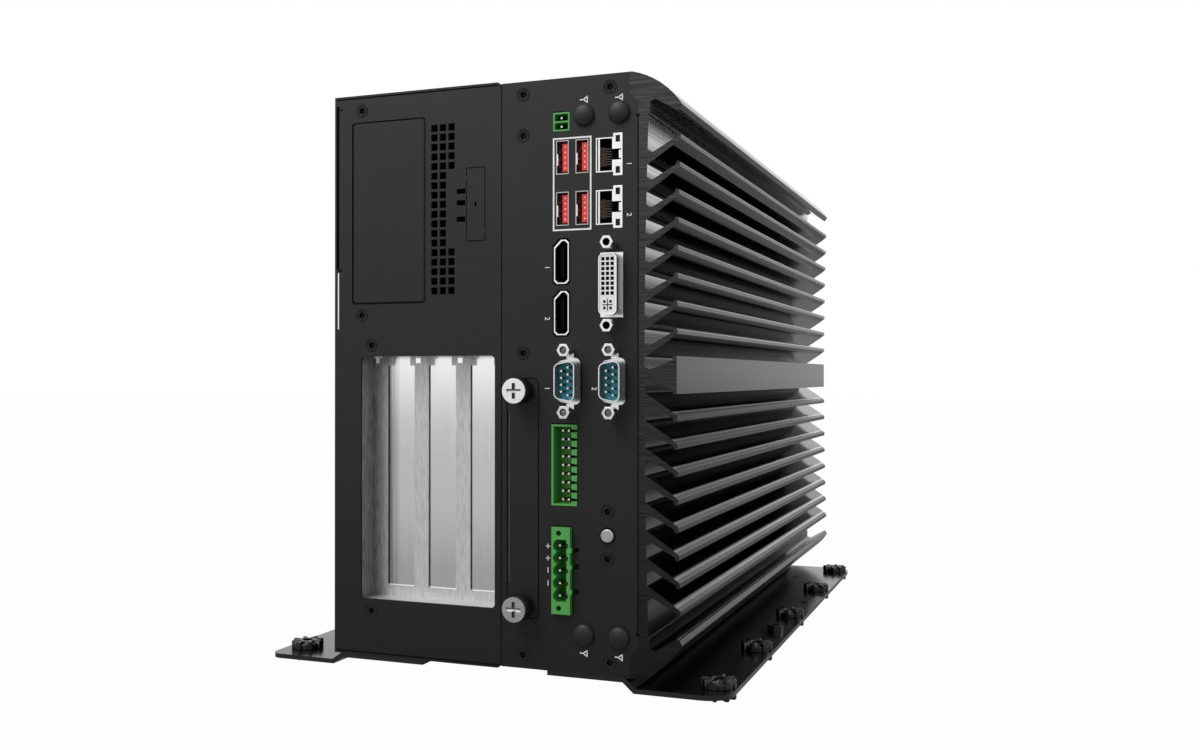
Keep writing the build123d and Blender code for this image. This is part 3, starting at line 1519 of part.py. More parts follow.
socket_z = backplane_z + backplane_plate
socket_spots = [(x, front_y + card_socket_front + card_socket_length / 2) for x in slot_xs]
with BuildPart() as card_sockets:
    with BuildSketch(Plane.XY.offset(socket_z)):
        with Locations(*socket_spots):
            Rectangle(card_socket_width, card_socket_length)
    extrude(amount=card_socket_height)
    with BuildSketch(Plane.XY.offset(socket_z + card_socket_height - card_groove_depth)):
        with Locations(*socket_spots):
            Rectangle(card_groove_width, card_socket_length - card_socket_width)
    extrude(amount=card_groove_depth, mode=Mode.SUBTRACT)
card_sockets.part.label = "card_sockets"
export_step(card_sockets.part, "parts/card_sockets.step")

# Countersunk screws
with BuildPart() as io_screws:
    add(sunk_shapes(io_screw_places, front_plane(), screw_length))
io_screws.part.label = "io_screws"
export_step(io_screws.part, "parts/io_screws.step")

with BuildPart() as io_rear_screws:
    add(sunk_shapes([(-x, z) for x, z in rear_screw_places], back_plane(), screw_length))
io_rear_screws.part.label = "io_rear_screws"
export_step(io_rear_screws.part, "parts/io_rear_screws.step")

with BuildPart() as cage_screws:
    add(sunk_shapes(hatch_screw_places + window_screw_places, front_plane(), cage_screw_length))
cage_screws.part.label = "cage_screws"
export_step(cage_screws.part, "parts/cage_screws.step")

with BuildPart() as cage_rear_screws:
    add(sunk_shapes([(-x, z) for x, z in cage_rear_screw_places], back_plane(), cage_screw_length))
cage_rear_screws.part.label = "cage_rear_screws"
export_step(cage_rear_screws.part, "parts/cage_rear_screws.step")

# Mounting brackets
damper_rows = (-damper_reach, -damper_step, 0.0, damper_step, damper_reach)
damper_x = damper_row_spacing / 2


def bracket_outline(side, inner_x, bend_x, outer_x, seat_z):
    """A joggled strip: a seat under the body and a lower flange beside it."""
    fall = seat_z - flange_top
    lean = side * bracket_plate * tan(atan(fall / bracket_bend_run) / 2)
    foot_x = bend_x + side * bracket_bend_run
    with BuildLine() as outline:
        Polyline(
            (inner_x, seat_z),
            (bend_x, seat_z),
            (foot_x, flange_top),
            (outer_x, flange_top),
            (outer_x, flange_top - bracket_plate),
            (foot_x - lean, flange_top - bracket_plate),
            (bend_x - lean, seat_z - bracket_plate),
            (inner_x, seat_z - bracket_plate),
            close=True,
        )
    return outline


right_bend_x = left_of_seam(right_bend_inset)
with BuildPart() as bracket_right:
    with BuildSketch(front_plane(bracket_setback)):
        with BuildLine():
            add(bracket_outline(1, right_bend_x - right_seat_width, right_bend_x, damper_x + right_lip, floor_z))
        make_face()
    extrude(amount=-bracket_length)
    fillet(bracket_right.edges().filter_by(Axis.Z).group_by(Axis.X)[-1], radius=right_corner)
    with BuildSketch(Plane.XY):
        with Locations(*[(damper_x, y) for y in damper_rows]):
            RegularPolygon(damper_neck_radius, damper_sides)
        with Locations((damper_x, bush_offset)):
            RegularPolygon(bush_neck_radius, screw_sides)
        with Locations((damper_x, plain_hole_offset)):
            RegularPolygon(small_hole_radius, screw_sides)
        with Locations(*[(seam_x + small_hole_inset, y) for y in small_hole_offsets]):
            RegularPolygon(small_hole_radius, screw_sides)
        with Locations(*right_bracket_screws):
            RegularPolygon(bracket_screw_radius, screw_sides)
    extrude(amount=floor_z, mode=Mode.SUBTRACT)
bracket_right.part.label = "bracket_right"
export_step(bracket_right.part, "parts/bracket_right.step")

left_bend_x = left_of_seam(left_bend_inset)
left_seat_z = floor_z - cover_sheet
with BuildPart() as bracket_left:
    with BuildSketch(front_plane(bracket_setback)):
        with BuildLine():
            add(
                bracket_outline(
                    -1, left_bend_x + left_seat_width, left_bend_x, -damper_x - left_lip, left_seat_z
                )
            )
        make_face()
    extrude(amount=-bracket_length)
    fillet(bracket_left.edges().filter_by(Axis.Z).group_by(Axis.X)[0], radius=left_corner)
    with BuildSketch(Plane.XY):
        with Locations(*[(-damper_x, y) for y in damper_rows]):
            RegularPolygon(damper_neck_radius, damper_sides)
        with Locations(*left_bracket_screws):
            RegularPolygon(bracket_screw_radius, screw_sides)
    extrude(amount=floor_z, mode=Mode.SUBTRACT)
bracket_left.part.label = "bracket_left"
export_step(bracket_left.part, "parts/bracket_left.step")


def damper_star():
    """The ribbed star of a damper, seen from above."""
    with BuildSketch() as outline:
        RegularPolygon(damper_hub_radius, damper_sides)
        with PolarLocations(damper_radius / 2, damper_ribs):
            Rectangle(damper_radius, damper_rib)
    return outline.sketch


with BuildPart() as dampers_right:
    with BuildSketch(Plane.XY):
        with Locations(*[(damper_x, y) for y in damper_rows]):
            add(damper_star())
    extrude(amount=damper_foot)
    with BuildSketch(Plane.XY.offset(damper_foot)):
        with Locations(*[(damper_x, y) for y in damper_rows]):
            RegularPolygon(damper_neck_radius, damper_sides)
    extrude(amount=bracket_plate)
    with BuildSketch(Plane.XY.offset(flange_top)):
        with Locations(*[(damper_x, y) for y in damper_rows]):
            add(damper_star())
    extrude(amount=damper_rise)
    with BuildSketch(Plane.XY):
        with Locations(*[(damper_x, y) for y in damper_rows]):
            Circle(damper_bore_radius)
    extrude(amount=flange_top + damper_rise, mode=Mode.SUBTRACT)
dampers_right.part.label = "dampers_right"
export_step(dampers_right.part, "parts/dampers_right.step")

with BuildPart() as dampers_left:
    add(dampers_right.part.moved(Location((-damper_row_spacing, 0, 0))))
dampers_left.part.label = "dampers_left"
export_step(dampers_left.part, "parts/dampers_left.step")

with BuildPart() as bracket_bush:
    with Locations((damper_x, bush_offset, flange_top)):
        Cylinder(bush_radius, bush_height, align=(Align.CENTER, Align.CENTER, Align.MIN))
    with BuildSketch(Plane.XY.offset(flange_top)):
        with Locations((damper_x, bush_offset)):
            RegularPolygon(bush_neck_radius, screw_sides)
    extrude(amount=-bracket_plate)
    with Locations((damper_x, bush_offset, flange_top)):
        Cylinder(bush_bore_radius, 2 * (bush_height + bracket_plate), mode=Mode.SUBTRACT)
bracket_bush.part.label = "bracket_bush"
export_step(bracket_bush.part, "parts/bracket_bush.step")

with BuildPart() as bracket_screws:
    for spots, seat_z in ((right_bracket_screws, floor_z), (left_bracket_screws, left_seat_z)):
        with BuildSketch(Plane.XY.offset(seat_z - bracket_plate)):
            with Locations(*spots):
                RegularPolygon(pan_head_radius, screw_sides)
        extrude(amount=-pan_head_height)
        with BuildSketch(Plane.XY.offset(seat_z - bracket_plate)):
            with Locations(*spots):
                RegularPolygon(bracket_screw_radius, screw_sides)
        extrude(amount=bracket_screw_length)
bracket_screws.part.label = "bracket_screws"
export_step(bracket_screws.part, "parts/bracket_screws.step")
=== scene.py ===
import math

import bmesh
import bpy
from mathutils import Matrix, Vector


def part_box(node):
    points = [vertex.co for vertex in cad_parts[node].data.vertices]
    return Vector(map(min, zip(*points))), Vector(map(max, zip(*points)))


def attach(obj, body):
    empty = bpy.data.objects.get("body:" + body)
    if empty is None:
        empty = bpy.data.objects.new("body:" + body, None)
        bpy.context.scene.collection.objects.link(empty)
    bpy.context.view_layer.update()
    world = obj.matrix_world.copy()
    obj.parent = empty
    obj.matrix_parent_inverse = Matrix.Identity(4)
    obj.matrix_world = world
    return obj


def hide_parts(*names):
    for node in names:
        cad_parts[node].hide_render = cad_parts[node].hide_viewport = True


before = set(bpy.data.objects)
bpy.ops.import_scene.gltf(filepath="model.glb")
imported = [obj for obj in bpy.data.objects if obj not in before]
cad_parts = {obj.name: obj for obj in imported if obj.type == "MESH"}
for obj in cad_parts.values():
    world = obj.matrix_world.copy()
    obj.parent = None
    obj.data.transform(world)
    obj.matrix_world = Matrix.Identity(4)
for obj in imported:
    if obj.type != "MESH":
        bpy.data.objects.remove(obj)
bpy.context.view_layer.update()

# The camera stands in front of the connector panels, half way up them, and sees the heatsink's
# side at a shallow angle. It was found from the photograph's vanishing points, with the serial
# ports' 24.99 mm screw spacing as its scale.
camera = bpy.data.objects.new("camera", bpy.data.cameras.new("camera"))
bpy.context.collection.objects.link(camera)
bpy.context.scene.camera = camera
camera.location = (0.21381, -0.59681, 0.12885)
camera.rotation_euler = (math.radians(90.065), math.radians(-0.03), math.radians(20.404))
camera.data.sensor_width = 36.0
camera.data.lens = 34.677
camera.data.clip_start = 0.01
bpy.context.scene.view_settings.view_transform = "Standard"

# A white studio: a floor that is all but plain white to the camera, and a white room that the metal
# reflects. One large soft lamp stands above and left of the camera, a second lights the heatsink's
# side.
room = bpy.data.worlds.new("studio_room")
bpy.context.scene.world = room
room.use_nodes = True
room_tree = room.node_tree
room_light = room_tree.nodes["Background"]
seen = room_tree.nodes.new("ShaderNodeLightPath")
shown = room_tree.nodes.new("ShaderNodeMath")
shown.operation = "ADD"
shown.use_clamp = True
room_tree.links.new(seen.outputs["Is Camera Ray"], shown.inputs[0])
room_tree.links.new(seen.outputs["Is Glossy Ray"], shown.inputs[1])
room_level = room_tree.nodes.new("ShaderNodeMapRange")
room_level.inputs["To Min"].default_value = 0.36
room_level.inputs["To Max"].default_value = 1.0
room_tree.links.new(shown.outputs[0], room_level.inputs["Value"])
room_light.inputs["Color"].default_value = (1, 1, 1, 1)
room_tree.links.new(room_level.outputs[0], room_light.inputs["Strength"])

floor_mesh = bpy.data.meshes.new("studio_floor")
floor_mesh.from_pydata([(-6, -6, 0), (6, -6, 0), (6, 6, 0), (-6, 6, 0)], [], [(0, 1, 2, 3)])
studio_floor = bpy.data.objects.new("studio_floor", floor_mesh)
bpy.context.collection.objects.link(studio_floor)
floor_paint = bpy.data.materials.new("studio_floor")
floor_paint.use_nodes = True
floor_tree = floor_paint.node_tree
floor_matt = floor_tree.nodes["Principled BSDF"]
floor_matt.inputs["Base Color"].default_value = (0.45, 0.45, 0.45, 1)
floor_matt.inputs["Roughness"].default_value = 0.9
floor_matt.inputs["Specular IOR Level"].default_value = 0.1
floor_glow = floor_tree.nodes.new("ShaderNodeEmission")
floor_seen = floor_tree.nodes.new("ShaderNodeLightPath")
floor_gloss = floor_tree.nodes.new("ShaderNodeMath")
floor_gloss.operation = "MULTIPLY"
floor_gloss.inputs[1].default_value = 0.12
floor_tree.links.new(floor_seen.outputs["Is Glossy Ray"], floor_gloss.inputs[0])
floor_share = floor_tree.nodes.new("ShaderNodeMath")
floor_share.operation = "MULTIPLY_ADD"
floor_share.inputs[1].default_value = 0.985
floor_tree.links.new(floor_seen.outputs["Is Camera Ray"], floor_share.inputs[0])
floor_tree.links.new(floor_gloss.outputs[0], floor_share.inputs[2])
floor_mix = floor_tree.nodes.new("ShaderNodeMixShader")
floor_tree.links.new(floor_share.outputs[0], floor_mix.inputs[0])
floor_tree.links.new(floor_matt.outputs[0], floor_mix.inputs[1])
floor_tree.links.new(floor_glow.outputs[0], floor_mix.inputs[2])
floor_tree.links.new(floor_mix.outputs[0], floor_tree.nodes["Material Output"].inputs["Surface"])
floor_mesh.materials.append(floor_paint)


def soft_lamp(name, place, aim, size, watts):
    """A rectangular lamp at a place, turned towards its aim."""
    lamp = bpy.data.objects.new(name, bpy.data.lights.new(name, "AREA"))
    bpy.context.collection.objects.link(lamp)
    lamp.data.shape = "RECTANGLE"
    lamp.data.size, lamp.data.size_y = size
    lamp.data.energy = watts
    lamp.location = place
    lamp.rotation_euler = (Vector(aim) - Vector(place)).to_track_quat("-Z", "Y").to_euler()


soft_lamp("key_lamp", (-0.4, -0.75, 1.1), (0, -0.15, 0.15), (0.7, 0.7), 11.5)
soft_lamp("side_lamp", (1.1, 0.55, 0.6), (0.07, 0.0, 0.14), (0.5, 0.9), 5.0)

# Heatsink: one black anodised aluminium extrusion, with die lines along its fins and the bowed floor
# between them. The fins are nearly black, with painted highlights on their rounded tips that grow
# brighter towards the back, and the floor carries a bright painted reflection that is strongest
# towards the top. The sawn ends are brushed across, with painted shade that darkens them downwards.


class Wire:
    """A socket in a finish. Arithmetic on it adds Math nodes."""

    def __init__(self, finish, socket):
        self.finish, self.socket = finish, socket

    def maths(self, operation, *values):
        return self.finish.node("ShaderNodeMath", {"operation": operation}, dict(enumerate(values)))

    def __add__(self, other):
        return self.maths("ADD", self, other)

    def __mul__(self, other):
        return self.maths("MULTIPLY", self, other)

    def __sub__(self, other):
        return self.maths("SUBTRACT", self, other)

    def __rsub__(self, other):
        return self.maths("SUBTRACT", other, self)

    def __gt__(self, other):
        return self.maths("GREATER_THAN", self, other)

    def __lt__(self, other):
        return self.maths("LESS_THAN", self, other)

    def __pow__(self, other):
        return self.maths("POWER", self, other)

    def __abs__(self):
        return self.maths("ABSOLUTE", self)

    __radd__ = __add__
    __rmul__ = __mul__


class Finish:
    """A material with one Principled shader, whose colour is given as it looks on screen."""

    def __init__(self, name, colour, roughness, metallic=0.0, **sockets):
        self.material = bpy.data.materials.new(name)
        self.material.use_nodes = True
        self.tree = self.material.node_tree
        self.shader = self.tree.nodes["Principled BSDF"]
        self.colour = self.linear(colour)
        self.shader.inputs["Base Color"].default_value = self.colour
        self.shader.inputs["Roughness"].default_value = roughness
        self.shader.inputs["Metallic"].default_value = metallic
        for socket, value in sockets.items():
            self.shader.inputs[socket.replace("_", " ")].default_value = value

    @staticmethod
    def linear(colour):
        parts = [int(colour[i : i + 2], 16) / 255 for i in (1, 3, 5)]
        return [p / 12.92 if p <= 0.04045 else ((p + 0.055) / 1.055) ** 2.4 for p in parts] + [1.0]

    def node(self, kind, settings, sockets, output=0):
        """A new node with its settings made and its sockets joined or filled, as one of its outputs."""
        made = self.tree.nodes.new(kind)
        for key, value in settings.items():
            setattr(made, key, value)
        for key, value in sockets.items():
            if isinstance(value, Wire):
                self.tree.links.new(value.socket, made.inputs[key])
            else:
                made.inputs[key].default_value = value
        return Wire(self, made.outputs[output])

    def feed(self, socket, wire):
        self.tree.links.new(wire.socket, self.shader.inputs[socket])

    def place(self, given="Object"):
        """The point on the object, in metres, or its normal, and the three parts of either."""
        point = self.node("ShaderNodeTexCoord", {}, {}, given)
        parts = self.node("ShaderNodeSeparateXYZ", {}, {0: point}).socket.node.outputs
        return point, *(Wire(self, part) for part in parts)

    def ramp(self, wire, start, end, low=0.0, high=1.0):
        """Runs from low to high while the wire runs from start to end."""
        return self.node("ShaderNodeMapRange", {}, {0: wire, 1: start, 2: end, 3: low, 4: high})

    def tone(self, share, first, second):
        return self.blend(share, self.linear(first), self.linear(second))

    def grain(self, point, size, detail=2.0):
        """Noise whose grains measure size, in metres along X, Y and Z."""
        spread = self.node("ShaderNodeMapping", {}, {"Vector": point, "Scale": [1 / s for s in size]})
        return self.node("ShaderNodeTexNoise", {}, {"Vector": spread, "Scale": 1.0, "Detail": detail})

    def blend(self, share, first, second):
        return self.node("ShaderNodeMix", {"data_type": "RGBA"}, {0: share, 6: first, 7: second}, 2)

    def dent(self, height, depth):
        """A bump whose height runs from 0 to 1 over depth, in metres."""
        self.feed("Normal", self.node("ShaderNodeBump", {}, {"Height": height, "Distance": depth}))


def dress(finish, *names):
    for name in names:
        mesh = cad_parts[name].data
        mesh.materials.clear()
        mesh.materials.append(finish.material)


MM = 0.001
front_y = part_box("io_front_panel")[0].y
back_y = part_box("io_rear_panel")[1].y
seam_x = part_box("io_front_panel")[1].x
top_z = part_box("main_chassis")[1].z
floor_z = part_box("main_chassis")[0].z
middle_z = (top_z + floor_z) / 2
half_height = (top_z - floor_z) / 2

anodised = Finish("anodised_black", "#050505", 0.14, 0.0, Specular_IOR_Level=0.16)
point, x, y, z = anodised.place()
_, sideways, ahead, upward = anodised.place("Normal")
from_middle = (z - middle_z) * (1 / half_height)
fin_floor, bow = seam_x + 2.6 * MM, 2.3 * MM
out = x - fin_floor - from_middle * from_middle * bow
end_face = abs(ahead) > 0.7
side_face = 1 - end_face
channel = (out < 0.6 * MM) * side_face * (x > seam_x + 1.5 * MM) * (sideways > 0.6)
block_face = (out > 12.9 * MM) * (abs(z - middle_z) < 7.6 * MM)
tip = (out > 11.2 * MM) * side_face * (1 - block_face)
above = z > middle_z
# Painted highlights: the top of each upper fin's bead and the edge of each lower fin's tip, brighter towards
# the back.
bead_highlight = tip * above * (upward > 0.25)
edge = tip * (1 - above) * (upward > 0.3) * (out < 12.15 * MM)
die_lines = anodised.grain(point, (0.5 * MM, 0.6, 0.5 * MM), 3.0)
saw_lines = anodised.grain(point, (25 * MM, 10 * MM, 0.4 * MM), 5.0)
highlight_towards_back = anodised.ramp(y, front_y, back_y, 0.3, 1.0)
height = anodised.ramp(from_middle, -0.2, 1.0, 0.08, 0.95)
skin = anodised.tone(die_lines, "#010101", "#09090a")
skin = anodised.blend(tip, skin, anodised.tone(die_lines, "#161617", "#2c2c2d"))
skin = anodised.blend((bead_highlight + edge) * highlight_towards_back, skin, anodised.tone(die_lines, "#9a9b9c", "#e6e7e8"))
skin = anodised.blend(block_face, skin, anodised.tone(die_lines, "#202021", "#343435"))
# Painted reflection: the floor between the fins is painted bright metal, brightest towards the top.
skin = anodised.blend(channel * height, skin, anodised.tone(die_lines**1.5 * 1.7, "#6c6d6e", "#ffffff"))
# Painted shade on the sawn ends, darker towards the foot.
saw_light = anodised.ramp(from_middle, -1.0, 1.0, 0.15, 1.9)
sawn = anodised.tone(saw_lines**2.0 * saw_light, "#040404", "#606061")
anodised.feed("Base Color", anodised.blend(end_face, skin, sawn))
anodised.feed("Metallic", channel * 0.9 + (bead_highlight + edge) * highlight_towards_back * 0.7)
anodised.feed("Roughness", 0.05 + die_lines * 0.08 + (end_face + tip + block_face + channel) * 0.16)
anodised.dent(die_lines * side_face + end_face * saw_lines, 0.02 * MM)
dress(anodised, "heatsink")

# Sheet body and panels: folded steel, screwed to the heatsink, with a fine textured black powder
# coat that is a little cloudy, and painted shade that darkens it towards the foot.
powder = Finish("powder_black", "#1a1a1b", 0.5, Specular_IOR_Level=0.18)
point, _, _, z = powder.place()
orange_peel = powder.grain(point, (0.45 * MM, 0.45 * MM, 0.45 * MM), 2.0)
cloudy = powder.grain(point, (40 * MM, 40 * MM, 40 * MM), 2.0)
# Painted shade: the coat darkens towards the foot.
foot_shade = powder.ramp(z, floor_z, top_z, 0.62, 0.0)
powder_tone = powder.tone(orange_peel * 0.7 + cloudy * 0.3, "#1e1e1f", "#3b3b3d")
powder.feed("Base Color", powder.blend(foot_shade, powder_tone, Finish.linear("#060606")))
powder.feed("Roughness", 0.42 + orange_peel * 0.14 + cloudy * 0.06)
powder.dent(orange_peel, 0.025 * MM)
dress(
    powder, "main_chassis", "io_front_panel", "io_rear_panel", "cage_cover", "cage_front_panel",
    "cage_rear_panel", "cage_side_plate", "hatch_plate", "drive_tray",
)

# Mounting brackets: steel strips, pressed to a joggle and screwed on under the body, with a
# smoother black coat that shines at a low angle.
bracket_coat = Finish("bracket_black", "#080808", 0.2, Specular_IOR_Level=0.5)
point = bracket_coat.place()[0]
fine_peel = bracket_coat.grain(point, (0.6 * MM, 0.6 * MM, 0.6 * MM), 2.0)
bracket_coat.feed("Base Color", bracket_coat.tone(fine_peel, "#040404", "#0e0e0e"))
bracket_coat.feed("Roughness", 0.14 + fine_peel * 0.08)
bracket_coat.dent(fine_peel, 0.003 * MM)
dress(bracket_coat, "bracket_left", "bracket_right")

# Countersunk screws: black steel with a six-lobed socket and a pin in it, the socket painted near
# black as painted shade. Each one is turned by chance, as it came to rest when it was driven home.


def stack_rings(name, rings, closed=False):
    """A mesh through rings of points. It is capped at both ends, or closed on itself."""
    count = len(rings[0])
    spots = [tuple(spot) for ring in rings for spot in ring]
    faces = []
    for level in range(len(rings) if closed else len(rings) - 1):
        here, there = level * count, (level + 1) % len(rings) * count
        for step in range(count):
            after = (step + 1) % count
            faces.append((here + step, here + after, there + after, there + step))
    if not closed:
        faces += [tuple(range(count))[::-1], tuple(range(len(spots) - count, len(spots)))]
    mesh = bpy.data.meshes.new(name)
    mesh.from_pydata(spots, [], faces)
    return welded(mesh)


def welded(mesh):
    """The mesh with its seams closed, its faces turned outwards and its soft edges smooth."""
    work = bmesh.new()
    work.from_mesh(mesh)
    bmesh.ops.remove_doubles(work, verts=work.verts, dist=1e-7)
    bmesh.ops.recalc_face_normals(work, faces=work.faces)
    work.to_mesh(mesh)
    work.free()
    mesh.shade_smooth()
    mesh.set_sharp_from_angle(angle=math.radians(32))
    return mesh


def turned_rings(profile, sides, shape=None):
    """Rings about the Y axis. Each has a radius and a Y in millimetres, and maybe a shaped edge."""
    rings = []
    for radius, depth, *shaped in profile:
        ring = []
        for step in range(sides):
            angle = math.tau * step / sides
            reach = radius * (shape(angle) if shaped else 1)
            ring.append((reach * math.cos(angle) * MM, depth * MM, reach * math.sin(angle) * MM))
        rings.append(ring)
    return rings


copies_tree = bpy.data.node_groups.new("copies_in_place", "GeometryNodeTree")
for label, kind in (
    ("Spots", "NodeSocketGeometry"), ("Template", "NodeSocketObject"), ("Most Turn", "NodeSocketFloat"),
    ("Size", "NodeSocketFloat"), ("Finish", "NodeSocketMaterial"),
):
    copies_tree.interface.new_socket(label, in_out="INPUT", socket_type=kind)
copies_tree.interface.new_socket("Copies", in_out="OUTPUT", socket_type="NodeSocketGeometry")
given = copies_tree.nodes.new("NodeGroupInput")
made = copies_tree.nodes.new("NodeGroupOutput")
pattern = copies_tree.nodes.new("GeometryNodeObjectInfo")
chance = copies_tree.nodes.new("FunctionNodeRandomValue")
chance.inputs["Seed"].default_value = 7
turn = copies_tree.nodes.new("ShaderNodeCombineXYZ")
placed = copies_tree.nodes.new("GeometryNodeInstanceOnPoints")
real = copies_tree.nodes.new("GeometryNodeRealizeInstances")
painted = copies_tree.nodes.new("GeometryNodeSetMaterial")
for source, target in (
    (given.outputs["Template"], pattern.inputs["Object"]),
    (given.outputs["Most Turn"], chance.inputs[3]),
    (chance.outputs[1], turn.inputs["Y"]),
    (turn.outputs[0], placed.inputs["Rotation"]),
    (given.outputs["Spots"], placed.inputs["Points"]),
    (pattern.outputs["Geometry"], placed.inputs["Instance"]),
    (given.outputs["Size"], placed.inputs["Scale"]),
    (placed.outputs[0], real.inputs[0]),
    (real.outputs[0], painted.inputs["Geometry"]),
    (given.outputs["Finish"], painted.inputs["Material"]),
    (painted.outputs[0], made.inputs[0]),
):
    copies_tree.links.new(source, target)


def fit(name, mesh, finish, slot, body, *replaced):
    """Puts a finished piece on the body that carries it, in place of the nodes it stands for."""
    mesh.materials.clear()
    mesh.materials.append(finish.material)
    piece = bpy.data.objects.new(name, mesh)
    bpy.context.collection.objects.link(piece)
    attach(piece, body)
    if replaced:
        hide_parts(*replaced)


def copies(name, spots, template, finish, slot, body, *replaced, most_turn=0.0):
    """Puts the template's mesh at each spot, made by Geometry Nodes as one piece."""
    rows = bpy.data.meshes.new(name + "_spots")
    rows.from_pydata([tuple(spot) for spot in spots], [], [])
    holder = bpy.data.objects.new(name + "_holder", rows)
    sample = bpy.data.objects.new(name + "_template", template)
    bpy.context.collection.objects.link(holder)
    bpy.context.collection.objects.link(sample)
    step = holder.modifiers.new("copies", "NODES")
    step.node_group = copies_tree
    values = {"Template": sample, "Most Turn": most_turn, "Size": 1.0, "Finish": finish.material}
    for socket in copies_tree.interface.items_tree:
        if socket.name in values:
            step[socket.identifier] = values[socket.name]
    mesh = bpy.data.meshes.new_from_object(holder.evaluated_get(bpy.context.evaluated_depsgraph_get()))
    mesh.name = name
    for spare in (holder, sample):
        bpy.data.objects.remove(spare)
    fit(name, mesh, finish, slot, body, *replaced)


def spot(inset, drop, depth=0.0):
    """A place on the front: left of the seam, below the top and behind the panel, in millimetres."""
    return Vector((seam_x - inset * MM, front_y + depth * MM, top_z - drop * MM))


def sunk_screw(name, length, way=1):
    """A countersunk head with its shank. It faces the front, or the back where way is -1."""
    profile = [
        (0.01, 0.55), (0.3, 0.55), (0.42, 0.7), (0.42, 1.15), (1.08, 1.15, True), (1.2, 0.12, True),
        (1.42, 0.02), (2.62, 0.02), (2.74, 0.12), (2.74, 0.34), (1.5, 1.58), (1.45, length), (0.01, length),
    ]
    rings = turned_rings(profile, 48, lambda angle: 1 + 0.16 * math.cos(6 * angle))
    return stack_rings(name, [[(px, way * py, pz) for px, py, pz in ring] for ring in rings])


def back_corners(insets, drop):
    """Places on the back, as far below the top as others are above the foot."""
    rises = (top_z - drop * MM, floor_z + drop * MM)
    return [(seam_x - inset * MM, back_y, rise) for inset in insets for rise in rises]


oxide = Finish("black_oxide", "#151516", 0.4, 0.0, Specular_IOR_Level=0.12)
point, _, y, _ = oxide.place()
oxide_grain = oxide.grain(point, (0.5 * MM, 0.5 * MM, 0.5 * MM))
# Painted shade: the socket's depth goes near black, all but a band at the pin's top.
socket_shade = (y > front_y + 0.08 * MM) * (y < back_y - 0.08 * MM)
on_pin = (y < front_y + 0.62 * MM) * (y > front_y + 0.5 * MM)
oxide_tone = oxide.tone(oxide_grain, "#161617", "#2c2c2d")
oxide.feed("Base Color", oxide.blend(socket_shade * (1 - on_pin), oxide_tone, Finish.linear("#010101")))
oxide.feed("Roughness", 0.34 + oxide_grain * 0.18)
panel_height, corner_insets, corner_drop = 241.6, (50, 12), 5.4
io_screws = [(inset, drop) for inset in corner_insets for drop in (corner_drop, panel_height - corner_drop)]
io_screws += [(50, 22.35), (50, 111.9), (13, 175.8), (13, 194.8)]
cage_screws = [(126.75, 6.1), (126.75, 95.0), (121.9, 108.0), (121.9, 223.0)]
for name, spots, length, way, node in (
    ("panel_screws", [spot(*place) for place in io_screws], 7.0, 1, "io_screws"),
    ("hatch_screws", [spot(*place) for place in cage_screws], 3.0, 1, "cage_screws"),
    ("rear_panel_screws", back_corners(corner_insets, corner_drop), 7.0, -1, "io_rear_screws"),
    ("rear_cage_screws", back_corners((127.3, 62.9), 10.8), 3.0, -1, "cage_rear_screws"),
):
    copies(
        name, spots, sunk_screw(name + "_head", length, way), oxide, "screw_black", "chassis", node,
        most_turn=math.tau,
    )

# Card slots: the recessed wall is plain plated steel, brushed up and down, and its blanking covers
# are brighter. The wall's left strip is painted darker, as painted shade from the window's edge. The
# covers carry painted shade towards their foot, on the first one's left side and along each one's
# left edge, and a painted highlight along their foot.
slot_wall = Finish("slot_wall_steel", "#b4b5b6", 0.34, 0.6)
point, x, _, _ = slot_wall.place()
wall_brushing = slot_wall.grain(point, (0.4 * MM, 0.4 * MM, 5 * MM), 4.0) * 2.2 - 0.6
# Painted shade on the wall's left strip.
left_strip_shade = slot_wall.ramp(x, seam_x - 127 * MM, seam_x - 119.5 * MM, 1.0, 0.0)
wall_tone = slot_wall.tone(wall_brushing, "#b4b5b6", "#dcdddd")
shaded_wall_tone = slot_wall.tone(wall_brushing, "#606163", "#a8a9ab")
slot_wall.feed("Base Color", slot_wall.blend(left_strip_shade, wall_tone, shaded_wall_tone))
slot_wall.feed("Roughness", 0.34 + wall_brushing * 0.12)
slot_wall.dent(wall_brushing, 0.008 * MM)
dress(slot_wall, "slot_panel", "tray_bay")
cover_steel = Finish("slot_cover_steel", "#fafafa", 0.26, 1.0)
point, x, _, z = cover_steel.place()
cover_brushing = cover_steel.grain(point, (0.5 * MM, 0.5 * MM, 90 * MM), 3.0)
# Painted shade: the covers darken towards their foot.
lower = cover_steel.ramp(z, top_z - 205 * MM, top_z - 150 * MM, 1.0, 0.0)
slot_insets, half_slot = (113.9, 93.58, 73.26), 6.7
slot_lefts = [seam_x - (inset + half_slot) * MM for inset in slot_insets]
# Painted shade: a dark line along each cover's left edge, where the wall's side is in shade.
gap = sum((x > left - 0.1 * MM) * (x < left + 0.45 * MM) for left in slot_lefts)
# Painted shade on the first cover's left side, streaked by the brushing.
first = cover_steel.ramp(x, slot_lefts[0], slot_lefts[0] + 6 * MM, 1.0, 0.0)
# Painted highlight: a white line along the covers' foot.
foot_highlight = z < top_z - 213.1 * MM
cover_tone = cover_steel.tone(lower * (0.75 + cover_brushing * 0.4), "#ffffff", "#c2c3c4")
cover_tone = cover_steel.blend(first * cover_brushing * 1.5, cover_tone, Finish.linear("#5f6062"))
cover_tone = cover_steel.blend(gap, cover_tone, Finish.linear("#1e1f20"))
cover_steel.feed("Base Color", cover_steel.blend(foot_highlight, cover_tone, Finish.linear("#ffffff")))
cover_steel.feed("Roughness", 0.12 + cover_brushing * 0.1)
dress(cover_steel, "slot_covers", "slot_screws")
